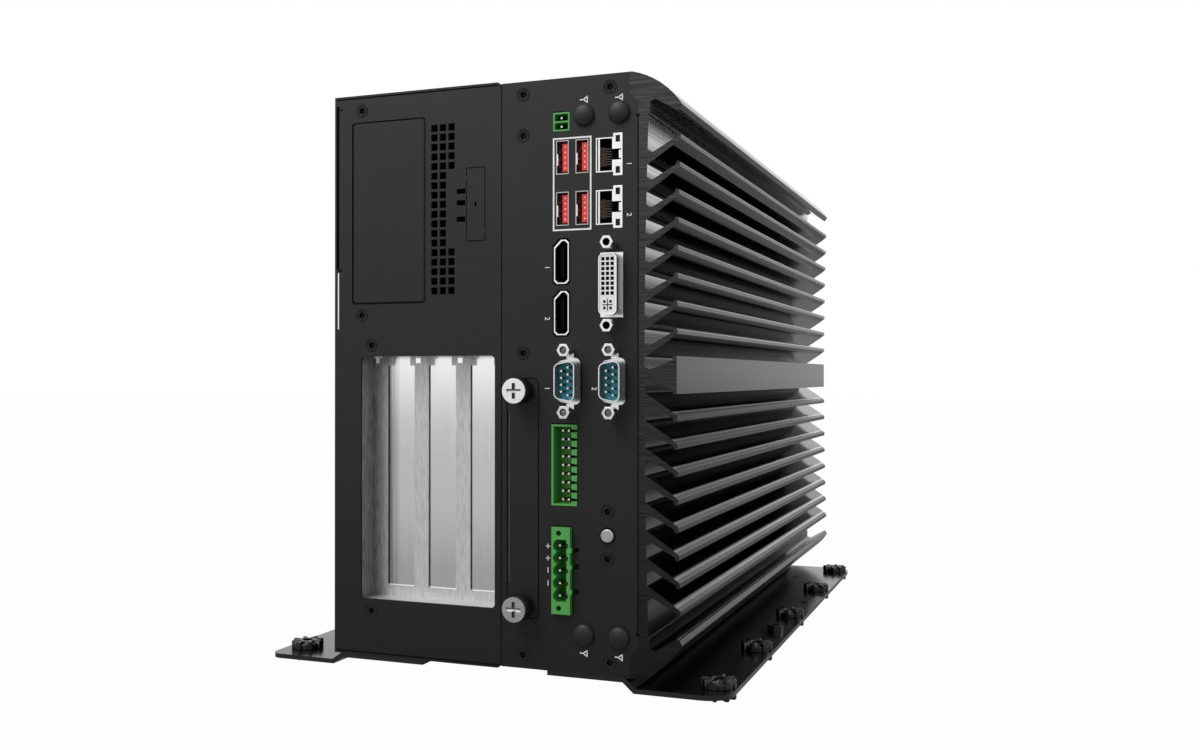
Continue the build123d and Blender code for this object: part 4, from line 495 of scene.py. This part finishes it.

# Socket shells: stamped and folded steel with bright nickel plating, soldered to the board behind
# the panel. Their outer sides are painted darker, as painted shade.
for name, low, high, side_shade_tone, nodes in (
    ("usb_shell_metal", "#9c9d9e", "#bcbdbe", "#8a8b8c", ("usb_shells",)),
    ("shell_metal", "#dededf", "#ffffff", "#c8c8c8", ("lan_jacks", "dp_shells")),
    ("video_shell_metal", "#e6e6e6", "#ffffff", "#6a6b6c", ("dvi_shell",)),
):
    shell_metal = Finish(name, high, 0.24, 1.0)
    point, _, y, _ = shell_metal.place()
    sideways = shell_metal.place("Normal")[1]
    stamping = shell_metal.grain(point, (2 * MM, 2 * MM, 2 * MM), 3.0)
    # Painted shade on the shells' outer sides.
    side_shade = (abs(sideways) > 0.6) * (y < front_y)
    face_tone = shell_metal.tone(stamping, low, high)
    shell_metal.feed("Base Color", shell_metal.blend(side_shade, face_tone, Finish.linear(side_shade_tone)))
    shell_metal.feed("Roughness", 0.16 + stamping * 0.16)
    dress(shell_metal, *nodes)
serial_metal = Finish("serial_shell_metal", "#e8e8e8", 0.26, 1.0)
point, _, y, z = serial_metal.place()
sideways = serial_metal.place("Normal")[1]
stamping = serial_metal.grain(point, (2 * MM, 2 * MM, 2 * MM), 3.0)
com_drop = 123.37
middle_part = 1 - serial_metal.ramp(abs(z - (top_z - com_drop * MM)), 7.2 * MM, 8.6 * MM)
# Painted shade: the seat by the panel is darker in its middle span, and the side wall is grey.
seat = y > front_y - 1.2 * MM
wall_side_shade = (sideways > 0.5) * (1 - seat)
serial_tone = serial_metal.tone(stamping, "#e2e2e3", "#ffffff")
serial_tone = serial_metal.blend(seat * middle_part, serial_tone, Finish.linear("#7c7d7e"))
serial_metal.feed("Base Color", serial_metal.blend(wall_side_shade, serial_tone, Finish.linear("#77787a")))
serial_metal.feed("Metallic", 1 - wall_side_shade * 0.8)
serial_metal.feed("Roughness", 0.2 + stamping * 0.16)
dress(serial_metal, "com_shells")
bright_steel = Finish("bright_steel", "#f0f0f0", 0.24, 1.0)
point = bright_steel.place()[0]
stamping = bright_steel.grain(point, (2 * MM, 2 * MM, 2 * MM), 3.0)
bright_steel.feed("Base Color", bright_steel.tone(stamping, "#dededf", "#ffffff"))
bright_steel.feed("Roughness", 0.16 + stamping * 0.16)

# Plastics of the sockets, headers and boards: most are moulded and pushed into their shells or into
# the board. Each has a fine spark-eroded surface.
for name, colour, dark, pieces in (
    ("green_plastic", "#5cb456", "#3f9040", ("switch_terminal", "dio_header", "dc_header")),
    ("red_plastic", "#ff4030", "#e03326", ("usb_tongues",)),
    ("teal_plastic", "#34a0b0", "#1a7a8a", ("com_insulators",)),
    ("white_plastic", "#ffffff", "#eeeeee", ("dvi_insulator",)),
    ("black_plastic", "#0d0d0e", "#040404", ("memory_modules", "card_sockets")),
    ("board_green", "#1d4a30", "#123420", ("motherboard", "backplane")),
):
    plastic = Finish(name, colour, 0.38)
    point = plastic.place()[0]
    spark = plastic.grain(point, (0.3 * MM, 0.3 * MM, 0.3 * MM))
    plastic.feed("Base Color", plastic.tone(spark, dark, colour))
    plastic.feed("Roughness", 0.32 + spark * 0.14)
    plastic.dent(spark, 0.01 * MM)
    dress(plastic, *pieces)

# Black moulded parts behind the panel, and black pieces that stand in as painted shade in gaps,
# open joints and the depths of sockets, in a matt black that gives back next to no light.
black_parts_and_shade = Finish("black_parts_and_shade", "#030303", 0.6, Specular_IOR_Level=0.05)
point = black_parts_and_shade.place()[0]
gap_grain = black_parts_and_shade.grain(point, (0.5 * MM, 0.5 * MM, 0.5 * MM))
black_parts_and_shade.feed("Base Color", black_parts_and_shade.tone(gap_grain, "#010101", "#060606"))
dress(black_parts_and_shade, "dp_bodies")

# Turned pieces and pins: brass with bright nickel plate and turning marks. A pin's body is painted
# near black as painted shade from the depth of its socket, so only its tip shows bright.
nickel = Finish("turned_nickel", "#e9e9ea", 0.2, 1.0)
point = nickel.place()[0]
turning = nickel.grain(point, (0.8 * MM, 0.3 * MM, 0.8 * MM), 2.0)
nickel.feed("Base Color", nickel.tone(turning, "#dcdddd", "#ffffff"))
nickel.feed("Roughness", 0.14 + turning * 0.14)
for name, node in (("serial_pin_metal", "com_pins"), ("header_pin_metal", "header_pins")):
    pin_metal = Finish(name, "#f0dcd4", 0.3, 0.6)
    point = pin_metal.place()[0]
    # Painted shade: all but the pin's tip goes near black.
    pin_body_shade = pin_metal.place("Normal")[2] > -0.6
    pin_grain = pin_metal.grain(point, (0.3 * MM, 0.3 * MM, 0.3 * MM))
    pin_tone = pin_metal.tone(pin_grain, "#e0c8be", "#fff4f0")
    pin_metal.feed("Base Color", pin_metal.blend(pin_body_shade, pin_tone, Finish.linear("#0a1210")))
    pin_metal.feed("Metallic", 0.6 - pin_body_shade * 0.6)
    dress(pin_metal, node)

# Power button: a turned metal cap with a satin face, which slides in a black ring that is pushed
# into the panel. The cap's edge carries a painted highlight.
satin = Finish("satin_cap", "#9c9c9d", 0.4, 0.3)
point = satin.place()[0]
satin_marks = satin.grain(point, (2 * MM, 2 * MM, 0.3 * MM), 3.0)
# Painted highlight, at half strength, on the cap's edge.
cap_edge_highlight = (satin.place("Normal")[2] > -0.9) * 0.5
cap_tone = satin.tone(satin_marks, "#a2a2a3", "#b2b2b3")
satin.feed("Base Color", satin.blend(cap_edge_highlight, cap_tone, Finish.linear("#f0f0f0")))
satin.feed("Roughness", 0.34 + satin_marks * 0.12)
dress(satin, "power_button")
ring_black = Finish("ring_black", "#060606", 0.35, Specular_IOR_Level=0.12)
point = ring_black.place()[0]
ring_black.feed("Roughness", 0.3 + ring_black.grain(point, (1 * MM, 1 * MM, 1 * MM)) * 0.15)
dress(ring_black, "button_collar", "bracket_screws")

# Network jacks: a black moulding sits in each shield, with eight sprung copper wires across it and
# a dark lamp window in each end of the strip.


def outline_ring(outline, depth, grow=0.0):
    """A ring of an outline's places on the front, moved outwards from its middle by grow."""
    insets, drops = zip(*outline)
    middle_inset, middle_drop = (max(insets) + min(insets)) / 2, (max(drops) + min(drops)) / 2
    return [
        spot(a + math.copysign(grow, a - middle_inset), b + math.copysign(grow, b - middle_drop), depth)
        for a, b in outline
    ]


def box(inset, drop, width, height):
    """The outline of a rectangle about a place on the front."""
    left, right, upper, under = inset + width / 2, inset - width / 2, drop - height / 2, drop + height / 2
    return [(left, upper), (right, upper), (right, under), (left, under)]


def block(outline, near, far, lip=0.1):
    """A solid between two depths, whose front edges stand out by a small lip."""
    levels = ((far, 0.0), (near + lip, 0.0), (near, lip))
    return stack_rings("block", [outline_ring(outline, depth, grow) for depth, grow in levels])


def frame_of(outline, outer, inner, near, far):
    """A wall that follows an outline, between two distances outside it and two depths."""
    return stack_rings("frame", [
        outline_ring(outline, far, outer), outline_ring(outline, near, outer),
        outline_ring(outline, near, inner), outline_ring(outline, far, inner),
    ], closed=True)


def joined(name, *meshes):
    """Several meshes as one."""
    work = bmesh.new()
    for mesh in meshes:
        work.from_mesh(mesh)
    whole = bpy.data.meshes.new(name)
    work.to_mesh(whole)
    work.free()
    return whole


def bent_strip(name, half_width, path):
    """A sprung contact: a strip 0.2 mm thick that is bent along a path across and into a port."""
    section = [(half_width * side, 0.1 * face) for side, face in ((-1, -1), (1, -1), (1, 1), (-1, 1))]
    return stack_rings(name, [[((px + pu) * MM, py * MM, pv * MM) for pv, pu in section] for px, py in path])


lan_drops, wire_pitch = (32.5, 53.5), 1.02
mouth_inset, latch_inset, lamp_inset, lamp_reach = 14.25, 9.35, 8.6, 6.25
mouths, lamps, leaves, lugs, frames = [], [], [], [], []
for drop in lan_drops:
    mouths.append(frame_of(box(mouth_inset, drop, 5.5, 11.9), 0.5, 0.0, 0.5, 10.0))
    mouths.append(frame_of(box(latch_inset, drop, 2.5, 4.2), 0.2, 0.0, 0.5, 9.0))
    mouths.append(block(box(mouth_inset, drop, 5.4, 11.8), 8.6, 10.4))
    mouths.append(block(box(latch_inset, drop, 2.4, 4.1), 6.0, 9.4))
    leaves.append(block(box(16.65, drop, 0.6, 12.8), -0.12, 3.0, 0.05))
    mouths.append(block(box(17.27, drop, 0.5, 13.0), -0.16, 3.0, 0.02))
    lugs.append(block(box(7.5, drop, 1.1, 3.0), -0.12, 2.0))
    for side in (1, -1):
        lamp_drop = drop + side * lamp_reach
        lamps.append(block(box(lamp_inset, lamp_drop, 1.3, 2.0), -0.06, 1.5))
        frames.append(frame_of(box(lamp_inset, lamp_drop, 1.4, 2.1), 0.45, 0.0, -0.04, 0.4))
fit("lan_mouths", joined("lan_mouths", *mouths, *frames), black_parts_and_shade, "black_plastic", "chassis")
lamp_glass = Finish("lamp_window", "#1d1e1f", 0.12, Specular_IOR_Level=0.2)
point = lamp_glass.place()[0]
lamp_grain = lamp_glass.grain(point, (0.7 * MM, 0.7 * MM, 0.7 * MM))
lamp_glass.feed("Base Color", lamp_glass.tone(lamp_grain, "#0b0b0c", "#1b1c1d"))
fit("lan_lamps", joined("lan_lamps", *lamps), lamp_glass, "black_plastic", "chassis")
fit("lan_lugs", joined("lan_lugs", *lugs, *leaves), bright_steel, "bright_steel", "chassis")
copper = Finish("copper_wire", "#84603f", 0.4, 0.5)
point = copper.place()[0]
copper_grain = copper.grain(point, (0.9 * MM, 3 * MM, 0.4 * MM), 3.0)
copper.feed("Base Color", copper.tone(copper_grain, "#2e2a27", "#9a6c42"))
copper.feed("Roughness", 0.3 + copper_grain * 0.2)
wire = bent_strip("wire", 0.16, [(0.0, 2.0), (1.6, 3.0), (3.6, 4.6), (4.9, 6.4), (5.0, 8.0)])
wire_spots = [spot(16.7, drop + (step - 3.2) * wire_pitch) for drop in lan_drops for step in range(8)]
copies("lan_wires", wire_spots, wire, copper, "gold_pins", "chassis")
comb = stack_rings("comb", [
    [(px * MM, depth * MM, pz * MM) for px, pz in ((0.0, -0.2), (5.2, -0.2), (5.2, 0.2), (0.0, 0.2))]
    for depth in (2.6, 8.0)
])
combs_grey = Finish("comb_grey", "#2c2c2d", 0.35)
point = combs_grey.place()[0]
comb_grain = combs_grey.grain(point, (1.5 * MM, 1 * MM, 1 * MM))
combs_grey.feed("Base Color", combs_grey.tone(comb_grain, "#1a1a1b", "#4a4b4c"))
comb_spots = [spot(16.9, drop + (step - 2.7) * wire_pitch) for drop in lan_drops for step in range(7)]
copies("lan_combs", comb_spots, comb, combs_grey, "black_plastic", "chassis")

# USB sockets: five flat contacts lie on the front of each red tongue, with sprung contacts beside
# it and a leaf of the shell bent into the mouth.
pad = stack_rings("pad", [
    [(px * size * MM, depth * MM, pz * size * MM) for px, pz in ((-1, -1), (1, -1), (1, 1), (-1, 1))]
    for size, depth in ((0.26, 0.8), (0.26, -0.02), (0.18, -0.08))
])
usb_places = [(inset, drop) for inset in (32.5, 24.0) for drop in (32.35, 53.25)]
pad_pitch = 2.15
pad_spots = [
    spot(inset - 0.95, drop + (step - 2) * pad_pitch, 0.6) for inset, drop in usb_places for step in range(5)
]
copies("usb_contacts", pad_spots, pad, nickel, "nickel", "chassis")
spring = bent_strip("spring", 0.42, [(-0.1, 1.4), (0.5, 2.6), (0.6, 3.4), (0.0, 6.0)])
spring_spots = [spot(inset + 1.75, drop + rise) for inset, drop in usb_places for rise in (-2.6, 0.7, 3.6)]
copies("usb_springs", spring_spots, spring, copper, "gold_pins", "chassis")
# Painted shade: the tongues' backs, deep in the mouths, are a darker copy of the red plastic, with noise
# patches of painted light.
shaded_red = Finish("shaded_red_plastic", "#4a1512", 0.4)
point = shaded_red.place()[0]
depth_light = shaded_red.grain(point, (0.8 * MM, 1 * MM, 0.8 * MM)) ** 2.0 * 2.2
shaded_red.feed("Base Color", shaded_red.tone(depth_light, "#040202", "#7e211a"))
usb_backs = [block(box(inset + 1.3, drop, 2.0, 12.6), 4.2, 11.0) for inset, drop in usb_places]
fit("usb_backs", joined("usb_backs", *usb_backs), shaded_red, "red_plastic", "chassis")
usb_leaves = [block(box(inset + 2.3, drop + 0.9, 0.5, 4.4), -0.15, 2.4, 0.12) for inset, drop in usb_places]
fit("usb_leaves", joined("usb_leaves", *usb_leaves), bright_steel, "bright_steel", "chassis")

# Display ports: each shell stands in a black rim in the panel, with a thin black wall that stands
# out as far as the shell does. Both are painted shade: the rim for the gap round the shell, and the
# wall round the shell's lit side.
dp_front = (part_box("dp_shells")[0].y - front_y) / MM
left, right, half_port, key, cut = 36.25, 29.75, 8.95, 3.0, 1.2
shade_rims = []
for drop in (74.75, 95.65):
    upper, under = drop - half_port, drop + half_port
    port = [
        (left, upper + key), (left - key, upper), (right + cut, upper), (right, upper + cut),
        (right, under - cut), (right + cut, under), (left - cut, under), (left, under - cut),
    ]
    shade_rims.append(frame_of(port, 0.62, 0.0, -0.03, 1.2))
    shade_rims.append(frame_of(port, 0.36, 0.62, dp_front - 0.03, 6.0))
fit("display_gaskets", joined("display_gaskets", *shade_rims), black_parts_and_shade, "black_plastic", "chassis")

# Jackscrews: hexagonal brass nuts with nickel plate, chamfered at the front and bored for a screw.
# Each holds a socket to the panel, and a grey screw end shows in the bores of the serial ports' four.


def hexagon(angle):
    """How far out a hexagon's side is at an angle, where its middle is at 1."""
    return 1 / math.cos(angle % (math.pi / 3) - math.pi / 6)


jackscrew = stack_rings("jackscrew", turned_rings([
    (0.01, -1.3), (1.5, -1.3), (1.5, -6.95), (1.62, -7.08), (2.3, -7.08, True), (2.44, -6.95, True),
    (2.44, 0.0, True), (1.4, 0.0), (1.38, 7.9), (0.01, 7.9),
], 48, hexagon))
com_places, com_screw_spacing = [(29.5, com_drop), (10.3, com_drop)], 24.99
dvi_inset, dvi_drop, dvi_screw_spacing = 11.1, 84.7, 33.0
com_jacks = [(inset, drop + side * com_screw_spacing / 2) for inset, drop in com_places for side in (1, -1)]
dvi_jacks = [(dvi_inset, dvi_drop + side * dvi_screw_spacing / 2) for side in (1, -1)]
jack_spots = [spot(*place) for place in com_jacks + dvi_jacks]
copies("port_jackscrews", jack_spots, jackscrew, nickel, "nickel", "chassis", "jackscrews")
bore = stack_rings("bore", turned_rings([
    (1.47, -1.4), (1.47, -6.7), (1.3, -6.4), (1.47, -6.0), (1.3, -5.6), (1.47, -5.2), (1.3, -4.8),
    (1.42, -1.4), (0.01, -1.4), (0.01, -1.36), (1.46, -1.36),
], 24), closed=True)
# Painted shade: the video jackscrews' bores are lined in black.
copies("video_jack_bores", [spot(*place) for place in dvi_jacks], bore, black_parts_and_shade, "screw_black", "chassis")
stub = stack_rings("stub", turned_rings([
    (1.47, -1.4), (1.47, -5.9), (1.2, -6.35), (0.6, -6.6), (0.01, -6.65),
], 24))
stub_grey = Finish("stub_grey", "#5a5b5c", 0.3, 0.5)
point = stub_grey.place()[0]
stub_grain = stub_grey.grain(point, (1.2 * MM, 1 * MM, 1.2 * MM))
stub_grey.feed("Base Color", stub_grey.tone(stub_grain, "#2c2c2d", "#8a8b8c"))
copies("serial_jack_stubs", [spot(*place) for place in com_jacks], stub, stub_grey, "nickel", "chassis")

# Serial ports: a bright tongue of each shell's folded flange shows between shell and jackscrew,
# which clamps it to the panel.
tabs = [
    block(box(inset - 0.6, drop + side * 10.3, 3.0, 2.2), -0.6, 1.9)
    for inset, drop in com_places for side in (1, -1)
]
fit("com_tabs", joined("com_tabs", *tabs), bright_steel, "bright_steel", "chassis")

# Video socket: a white moulded block inside the shell, with contact holes and a cross-shaped blade
# that has four more holes round it. Black inlays on its face stand in as painted shade for the holes
# and the cross.
contact_pitch, contacts_drop, blade_drop = 1.95, dvi_drop - 3.15, dvi_drop + 8.3
holes = [
    box(dvi_inset + (column - 1) * contact_pitch, contacts_drop + (row - 3.5) * contact_pitch, 1.32, 1.32)
    for column in range(3) for row in range(8)
]
holes += [box(dvi_inset + a * 1.3, blade_drop + b * 1.3, 1.0, 1.0) for a in (1, -1) for b in (1, -1)]
hole_shades = [block(outline, -5.34, -4.6, 0.02) for outline in holes]
hole_shades.append(block(box(dvi_inset, blade_drop, 0.32, 4.9), -5.36, -4.6, 0.02))
hole_shades.append(block(box(dvi_inset, blade_drop, 4.2, 0.32), -5.36, -4.6, 0.02))
fit("video_contacts", joined("video_contacts", *hole_shades), black_parts_and_shade, "black_plastic", "chassis")

# Green headers: black blocks stand in as painted shade for the slots through the narrow header's
# right wall, one for each pair of pins, and for the shadow gap where each header leaves the panel.
dio_drop, pin_pitch = 157.47, 3.5
slot_drops = [dio_drop + (row - 4) * pin_pitch for row in range(9)]
slots = [block(box(27.35, drop, 2.5, 0.75), -0.24, 0.4, 0.03) for drop in slot_drops]
shadow_strips = [
    block(box(inset, drop - height / 2 - 0.25, width + 0.3, 0.45), -0.03, 0.5, 0.02)
    for inset, drop, width, height in (
        (33, 17.8, 7.2, 7.65), (31.7, dio_drop, 11.2, 33), (32.4, 200.2, 8.1, 35.2),
    )
]
fit("header_gaps", joined("header_gaps", *slots, *shadow_strips), black_parts_and_shade, "black_plastic", "chassis")

# Panel edges: black pieces stand in as painted shade for the joint with the heatsink, a dark line
# with a notch at each end, and for the hooked ends of the slot in the cage's folded edge. Below the
# slot, a strip of bright steel stands in as a painted highlight on the edge seen through it.
cage_left = (seam_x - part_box("cage_front_panel")[0].x) / MM
joint_end = 17.6
edges = [block(box(0.1, panel_height / 2, 0.42, 206), -0.05, 0.5, 0.02)]
for drop in (joint_end, panel_height - joint_end):
    edges.append(stack_rings("notch", [
        [spot(0.2, drop, 0) + Vector((r * math.cos(a) * 1.5, depth, r * math.sin(a))) * MM
         for a in (math.tau * step / 16 for step in range(16))]
        for r, depth in ((0.6, 0.6), (0.6, -0.03))
    ]))
for drop in (4.7, 75.2):
    edges.append(block(box(cage_left - 1.9, drop, 2.0, 0.7), -0.03, 0.5, 0.02))
fit("edge_lines", joined("edge_lines", *edges), black_parts_and_shade, "black_plastic", "chassis")
# Painted highlight: a bright steel strip for the lit edge seen through the slot.
strip = block(box(cage_left - 1.05, 88.5, 0.55, 24.7), -0.04, 0.6, 0.02)
fit("edge_strip", strip, bright_steel, "bright_steel", "chassis")

# Rubber plugs: moulded domes with a thin rim and a stem, pressed into the spare aerial holes from
# the front.
rubber = Finish("black_rubber", "#131314", 0.55, Specular_IOR_Level=0.35)
point = rubber.place()[0]
bloom = rubber.grain(point, (3 * MM, 3 * MM, 3 * MM), 4.0)
rubber.feed("Base Color", rubber.tone(bloom, "#0b0b0b", "#1b1b1c"))
rubber.feed("Roughness", 0.42 + bloom * 0.2)
rubber.dent(rubber.grain(point, (0.4 * MM, 0.4 * MM, 0.4 * MM)), 0.015 * MM)
stem = [(0.01, 4.5), (2.7, 4.5), (2.9, 4.2), (2.9, 0.02), (4.4, 0.02), (4.5, -0.1)]
dome_angles = [math.radians(9 * step) for step in range(10)]
dome = [(4.5 * math.cos(angle), -0.35 - 2.2 * math.sin(angle)) for angle in dome_angles]
plug = stack_rings("plug", turned_rings([*stem, *dome, (0.01, -2.58)], 48))
plug_drop = 15.85
plug_spots = [spot(inset, drop) for inset in (23.15, 8.1) for drop in (plug_drop, panel_height - plug_drop)]
copies("aerial_plugs", plug_spots, plug, rubber, "rubber_black", "chassis", "antenna_plugs")

# Dampers: a rubber bush through the bracket, with a scalloped wall and eight raised ribs on each
# of its two ends, which flatten as the screw through it is tightened.
damper_rubber = Finish("damper_rubber", "#080808", 0.3, Specular_IOR_Level=0.5)
point = damper_rubber.place()[0]
damper_bloom = damper_rubber.grain(point, (2 * MM, 2 * MM, 2 * MM), 4.0)
damper_rubber.feed("Base Color", damper_rubber.tone(damper_bloom, "#050505", "#121212"))
damper_rubber.feed("Roughness", 0.24 + damper_bloom * 0.16)
dress(damper_rubber, "bracket_bush")
damper_sides = 128
lobe_reach, waist_reach, half_lobe, half_rib = 7.1, 6.45, 0.15, 0.95
damper_profile = [
    (4.6, 0, 4.5, 4.5), (-0.2, 1, 4.5, 4.5), (0.0, 1, 4.75, 4.75), (0.0, 1, 7.85, 6.7), (-0.35, 1, 8.2, 7.0),
    (4.3, 0, 8.2, 7.2), (3.8, 0, 8.2, 7.9), (2.6, 0, 8.1, 8.1), (2.2, 0, 7.8, 7.8), (2.2, 0, 0.4, 0.4),
    (2.6, 0, 0.1, 0.1), (3.8, 0, 0.0, 0.3), (4.3, 0, 0.0, 0.9), (-0.35, 1, 0.0, 1.0), (0.0, 1, 0.35, 1.3),
    (0.0, 1, 2.25, 2.25), (-0.2, 1, 2.5, 2.5), (4.6, 0, 2.5, 2.5),
]
rings = []
for radius, outer, rib_z, valley_z in damper_profile:
    ring = []
    for step in range(damper_sides):
        angle = math.tau * step / damper_sides
        off_rib = abs((angle + math.pi / 8) % (math.pi / 4) - math.pi / 8)
        reach = radius + (lobe_reach if off_rib < half_lobe else waist_reach) * outer
        rise = rib_z if off_rib * max(reach, 1) < half_rib else valley_z
        ring.append((reach * math.cos(angle) * MM, reach * math.sin(angle) * MM, rise * MM))
    rings.append(ring)
damper = stack_rings("damper", rings, closed=True)
damper_reach, damper_rows = 97, (-146, -78, 0, 78, 146)
for side, way in (("right", 1), ("left", -1)):
    damper_spots = [(way * damper_reach * MM, row * MM, 0) for row in damper_rows]
    copies(
        "ribbed_dampers_" + side, damper_spots, damper, damper_rubber, "rubber_black", "chassis",
        "dampers_" + side,
    )

# Drive tray screws: a knurled black sleeve, moulded round the shank behind a bright steel head with
# a cross recess. Each is turned by hand to free the tray. The lower head is painted greyer than the
# upper as painted shade. Each head's rim carries a painted highlight, and its cross recess carries
# painted shade, with a painted highlight on the lower half of its cross arm.
sleeve = Finish("knob_black", "#0d0d0e", 0.4, Specular_IOR_Level=0.35)
point = sleeve.place()[0]
sleeve_grain = sleeve.grain(point, (0.3 * MM, 0.3 * MM, 0.3 * MM))
sleeve.feed("Base Color", sleeve.tone(sleeve_grain, "#070707", "#171718"))
sleeve.feed("Roughness", 0.34 + sleeve_grain * 0.16)
knurls, cross_reach, half_slit = 36, 3.3 * MM, 0.76 * MM
knurled = stack_rings("knurled", turned_rings([
    (2.05, 0.0), (4.9, 0.0), (5.15, 0.35, True), (5.15, 1.2, True), (4.95, 1.4), (4.95, 1.8),
    (5.15, 2.0, True), (5.15, 7.3, True), (4.8, 7.75), (2.05, 7.75),
], 6 * knurls, lambda angle: 1 - 0.03 * (0.5 - 0.5 * math.cos(knurls * angle))), closed=True)
# The lower head's colours are a greyer copy of the upper head's, as painted shade.
for end, face_low, face_high in (("upper", "#f2f2f2", "#ffffff"), ("lower", "#a0a1a2", "#b8b9ba")):
    low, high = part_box("thumb_screw_" + end)
    head_steel = Finish("thumb_head_" + end, face_high, 0.22, 1.0)
    point, x, y, z = head_steel.place()
    ahead = head_steel.place("Normal")[2]
    head_marks = head_steel.grain(point, (6 * MM, 1 * MM, 0.5 * MM), 3.0)
    across, middle = (low.x + high.x) / 2, (low.z + high.z) / 2
    sunk = (y > low.y + 0.1 * MM) * (y < low.y + 1.1 * MM) * (abs(x - across) < cross_reach)
    sunk = sunk * (abs(z - middle) < cross_reach)
    # In the cross recess: painted shade, with a painted highlight on the lower half of the cross arm.
    recess_highlight = (z < middle) * (abs(z - middle) < half_slit)
    # Painted highlight: white on the rim, everywhere but the flat face and the recess.
    rim_highlight = 1 - (ahead < -0.95) - sunk
    head_tone = head_steel.tone(head_marks, face_low, face_high)
    head_tone = head_steel.blend(sunk, head_tone, head_steel.tone(recess_highlight, "#5c5d5e", "#e8e9ea"))
    head_steel.feed("Base Color", head_steel.blend(rim_highlight > 0.5, head_tone, Finish.linear("#ffffff")))
    head_steel.feed("Roughness", 0.18 + head_marks * 0.2)
    dress(head_steel, "thumb_screw_" + end)
    low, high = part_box("knob_" + end)
    copies(
        "knurled_knob_" + end, [((low.x + high.x) / 2, low.y, (low.z + high.z) / 2)], knurled, sleeve,
        "black_plastic", "thumb_" + end, "knob_" + end,
    )

# Printed marks: white ink, printed on the panel through a screen. It draws a frame round the USB
# sockets, port numerals, polarity signs and an aerial sign by each plug.
ink = Finish("white_ink", "#ffffff", 0.5)
point = ink.place()[0]
ink.feed("Base Color", ink.tone(ink.grain(point, (0.2 * MM, 0.2 * MM, 0.2 * MM)), "#f4f4f4", "#ffffff"))
ink_film = 0.03


def bar(start, end, width):
    """A straight printed line between two places."""
    run = Vector((end[0] - start[0], end[1] - start[1])).normalized() * width / 2
    return [
        (start[0] - run.y, start[1] + run.x), (end[0] - run.y, end[1] + run.x),
        (end[0] + run.y, end[1] - run.x), (start[0] + run.y, start[1] - run.x),
    ]


left, right, upper, under, line = 36.75, 19.95, 24.65, 61.85, 0.64
marks = [
    bar((left, upper), (right, upper), line), bar((left, under), (right, under), line),
    bar((left - line / 2, upper + line / 2), (left - line / 2, under - line / 2), line),
    bar((right + line / 2, upper + line / 2), (right + line / 2, under - line / 2), line),
]
aerial_line = 0.42
for inset, drop in ((22.8, 9.5), (7.75, 9.8), (22.75, 233.2), (7.75, 233.6)):
    tip_end, wide_end = inset + 0.6, inset - 1.05
    marks += [
        bar((tip_end, drop), (wide_end, drop - 1.25), aerial_line),
        bar((tip_end, drop), (wide_end, drop + 1.25), aerial_line),
        bar((wide_end, drop - 1.42), (wide_end, drop + 1.42), aerial_line),
        bar((inset + 2.1, drop), (tip_end, drop), aerial_line),
    ]
for drop in (190.7, 195.6):
    marks.append(bar((39.75, drop), (37.85, drop), 0.32))
    marks.append(bar((38.8, drop - 0.95), (38.8, drop + 0.95), 0.32))
for drop in (200.5, 205.8):
    marks.append(bar((38.8, drop - 1.05), (38.8, drop + 1.05), 0.34))
films = []
for outline in marks:
    flat = bpy.data.meshes.new("mark")
    flat.from_pydata(
        [tuple(spot(*place, depth)) for depth in (0.0, -ink_film) for place in outline], [],
        [(0, 1, 2, 3), (7, 6, 5, 4), (0, 4, 5, 1), (1, 5, 6, 2), (2, 6, 7, 3), (3, 7, 4, 0)],
    )
    films.append(flat)
for numeral, inset, drop in (
    ("1", 3.9, 36.6), ("2", 3.9, 56.9), ("1", 39.3, 76.9), ("2", 39.3, 97.8), ("1", 39.3, 126.3),
    ("2", 18.8, 126.3),
):
    letter = bpy.data.curves.new("numeral", "FONT")
    letter.body = numeral
    letter.size = 3.0 * MM
    letter.extrude = ink_film / 2 * MM
    letter.align_x = "CENTER"
    letter.align_y = "CENTER"
    drawn = bpy.data.objects.new("numeral", letter)
    bpy.context.collection.objects.link(drawn)
    flat = bpy.data.meshes.new_from_object(drawn.evaluated_get(bpy.context.evaluated_depsgraph_get()))
    bpy.data.objects.remove(drawn)
    across, up, towards = Vector((0, 0, -1)), Vector((1, 0, 0)), Vector((0, -1, 0))
    place = Matrix((across, up, towards)).transposed().to_4x4()
    place.translation = spot(inset, drop, -ink_film / 2)
    flat.transform(place)
    films.append(flat)
fit("printed_marks", welded(joined("printed_marks", *films)), ink, "white_plastic", "chassis")

# Inner pieces: turned brass standoffs that carry the backplane, the milled aluminium block between
# processor and heatsink, and the drive, which is screwed to its tray.
brass = Finish("plain_brass", "#c8a868", 0.28, 1.0)
point = brass.place()[0]
brass.feed("Roughness", 0.22 + brass.grain(point, (1 * MM, 1 * MM, 1 * MM)) * 0.2)
dress(brass, "backplane_standoffs")
milled = Finish("milled_aluminium", "#b4b6b8", 0.3, 1.0)
point = milled.place()[0]
milled.feed("Roughness", 0.24 + milled.grain(point, (0.3 * MM, 20 * MM, 0.3 * MM)) * 0.2)
dress(milled, "cpu_block", "drive")
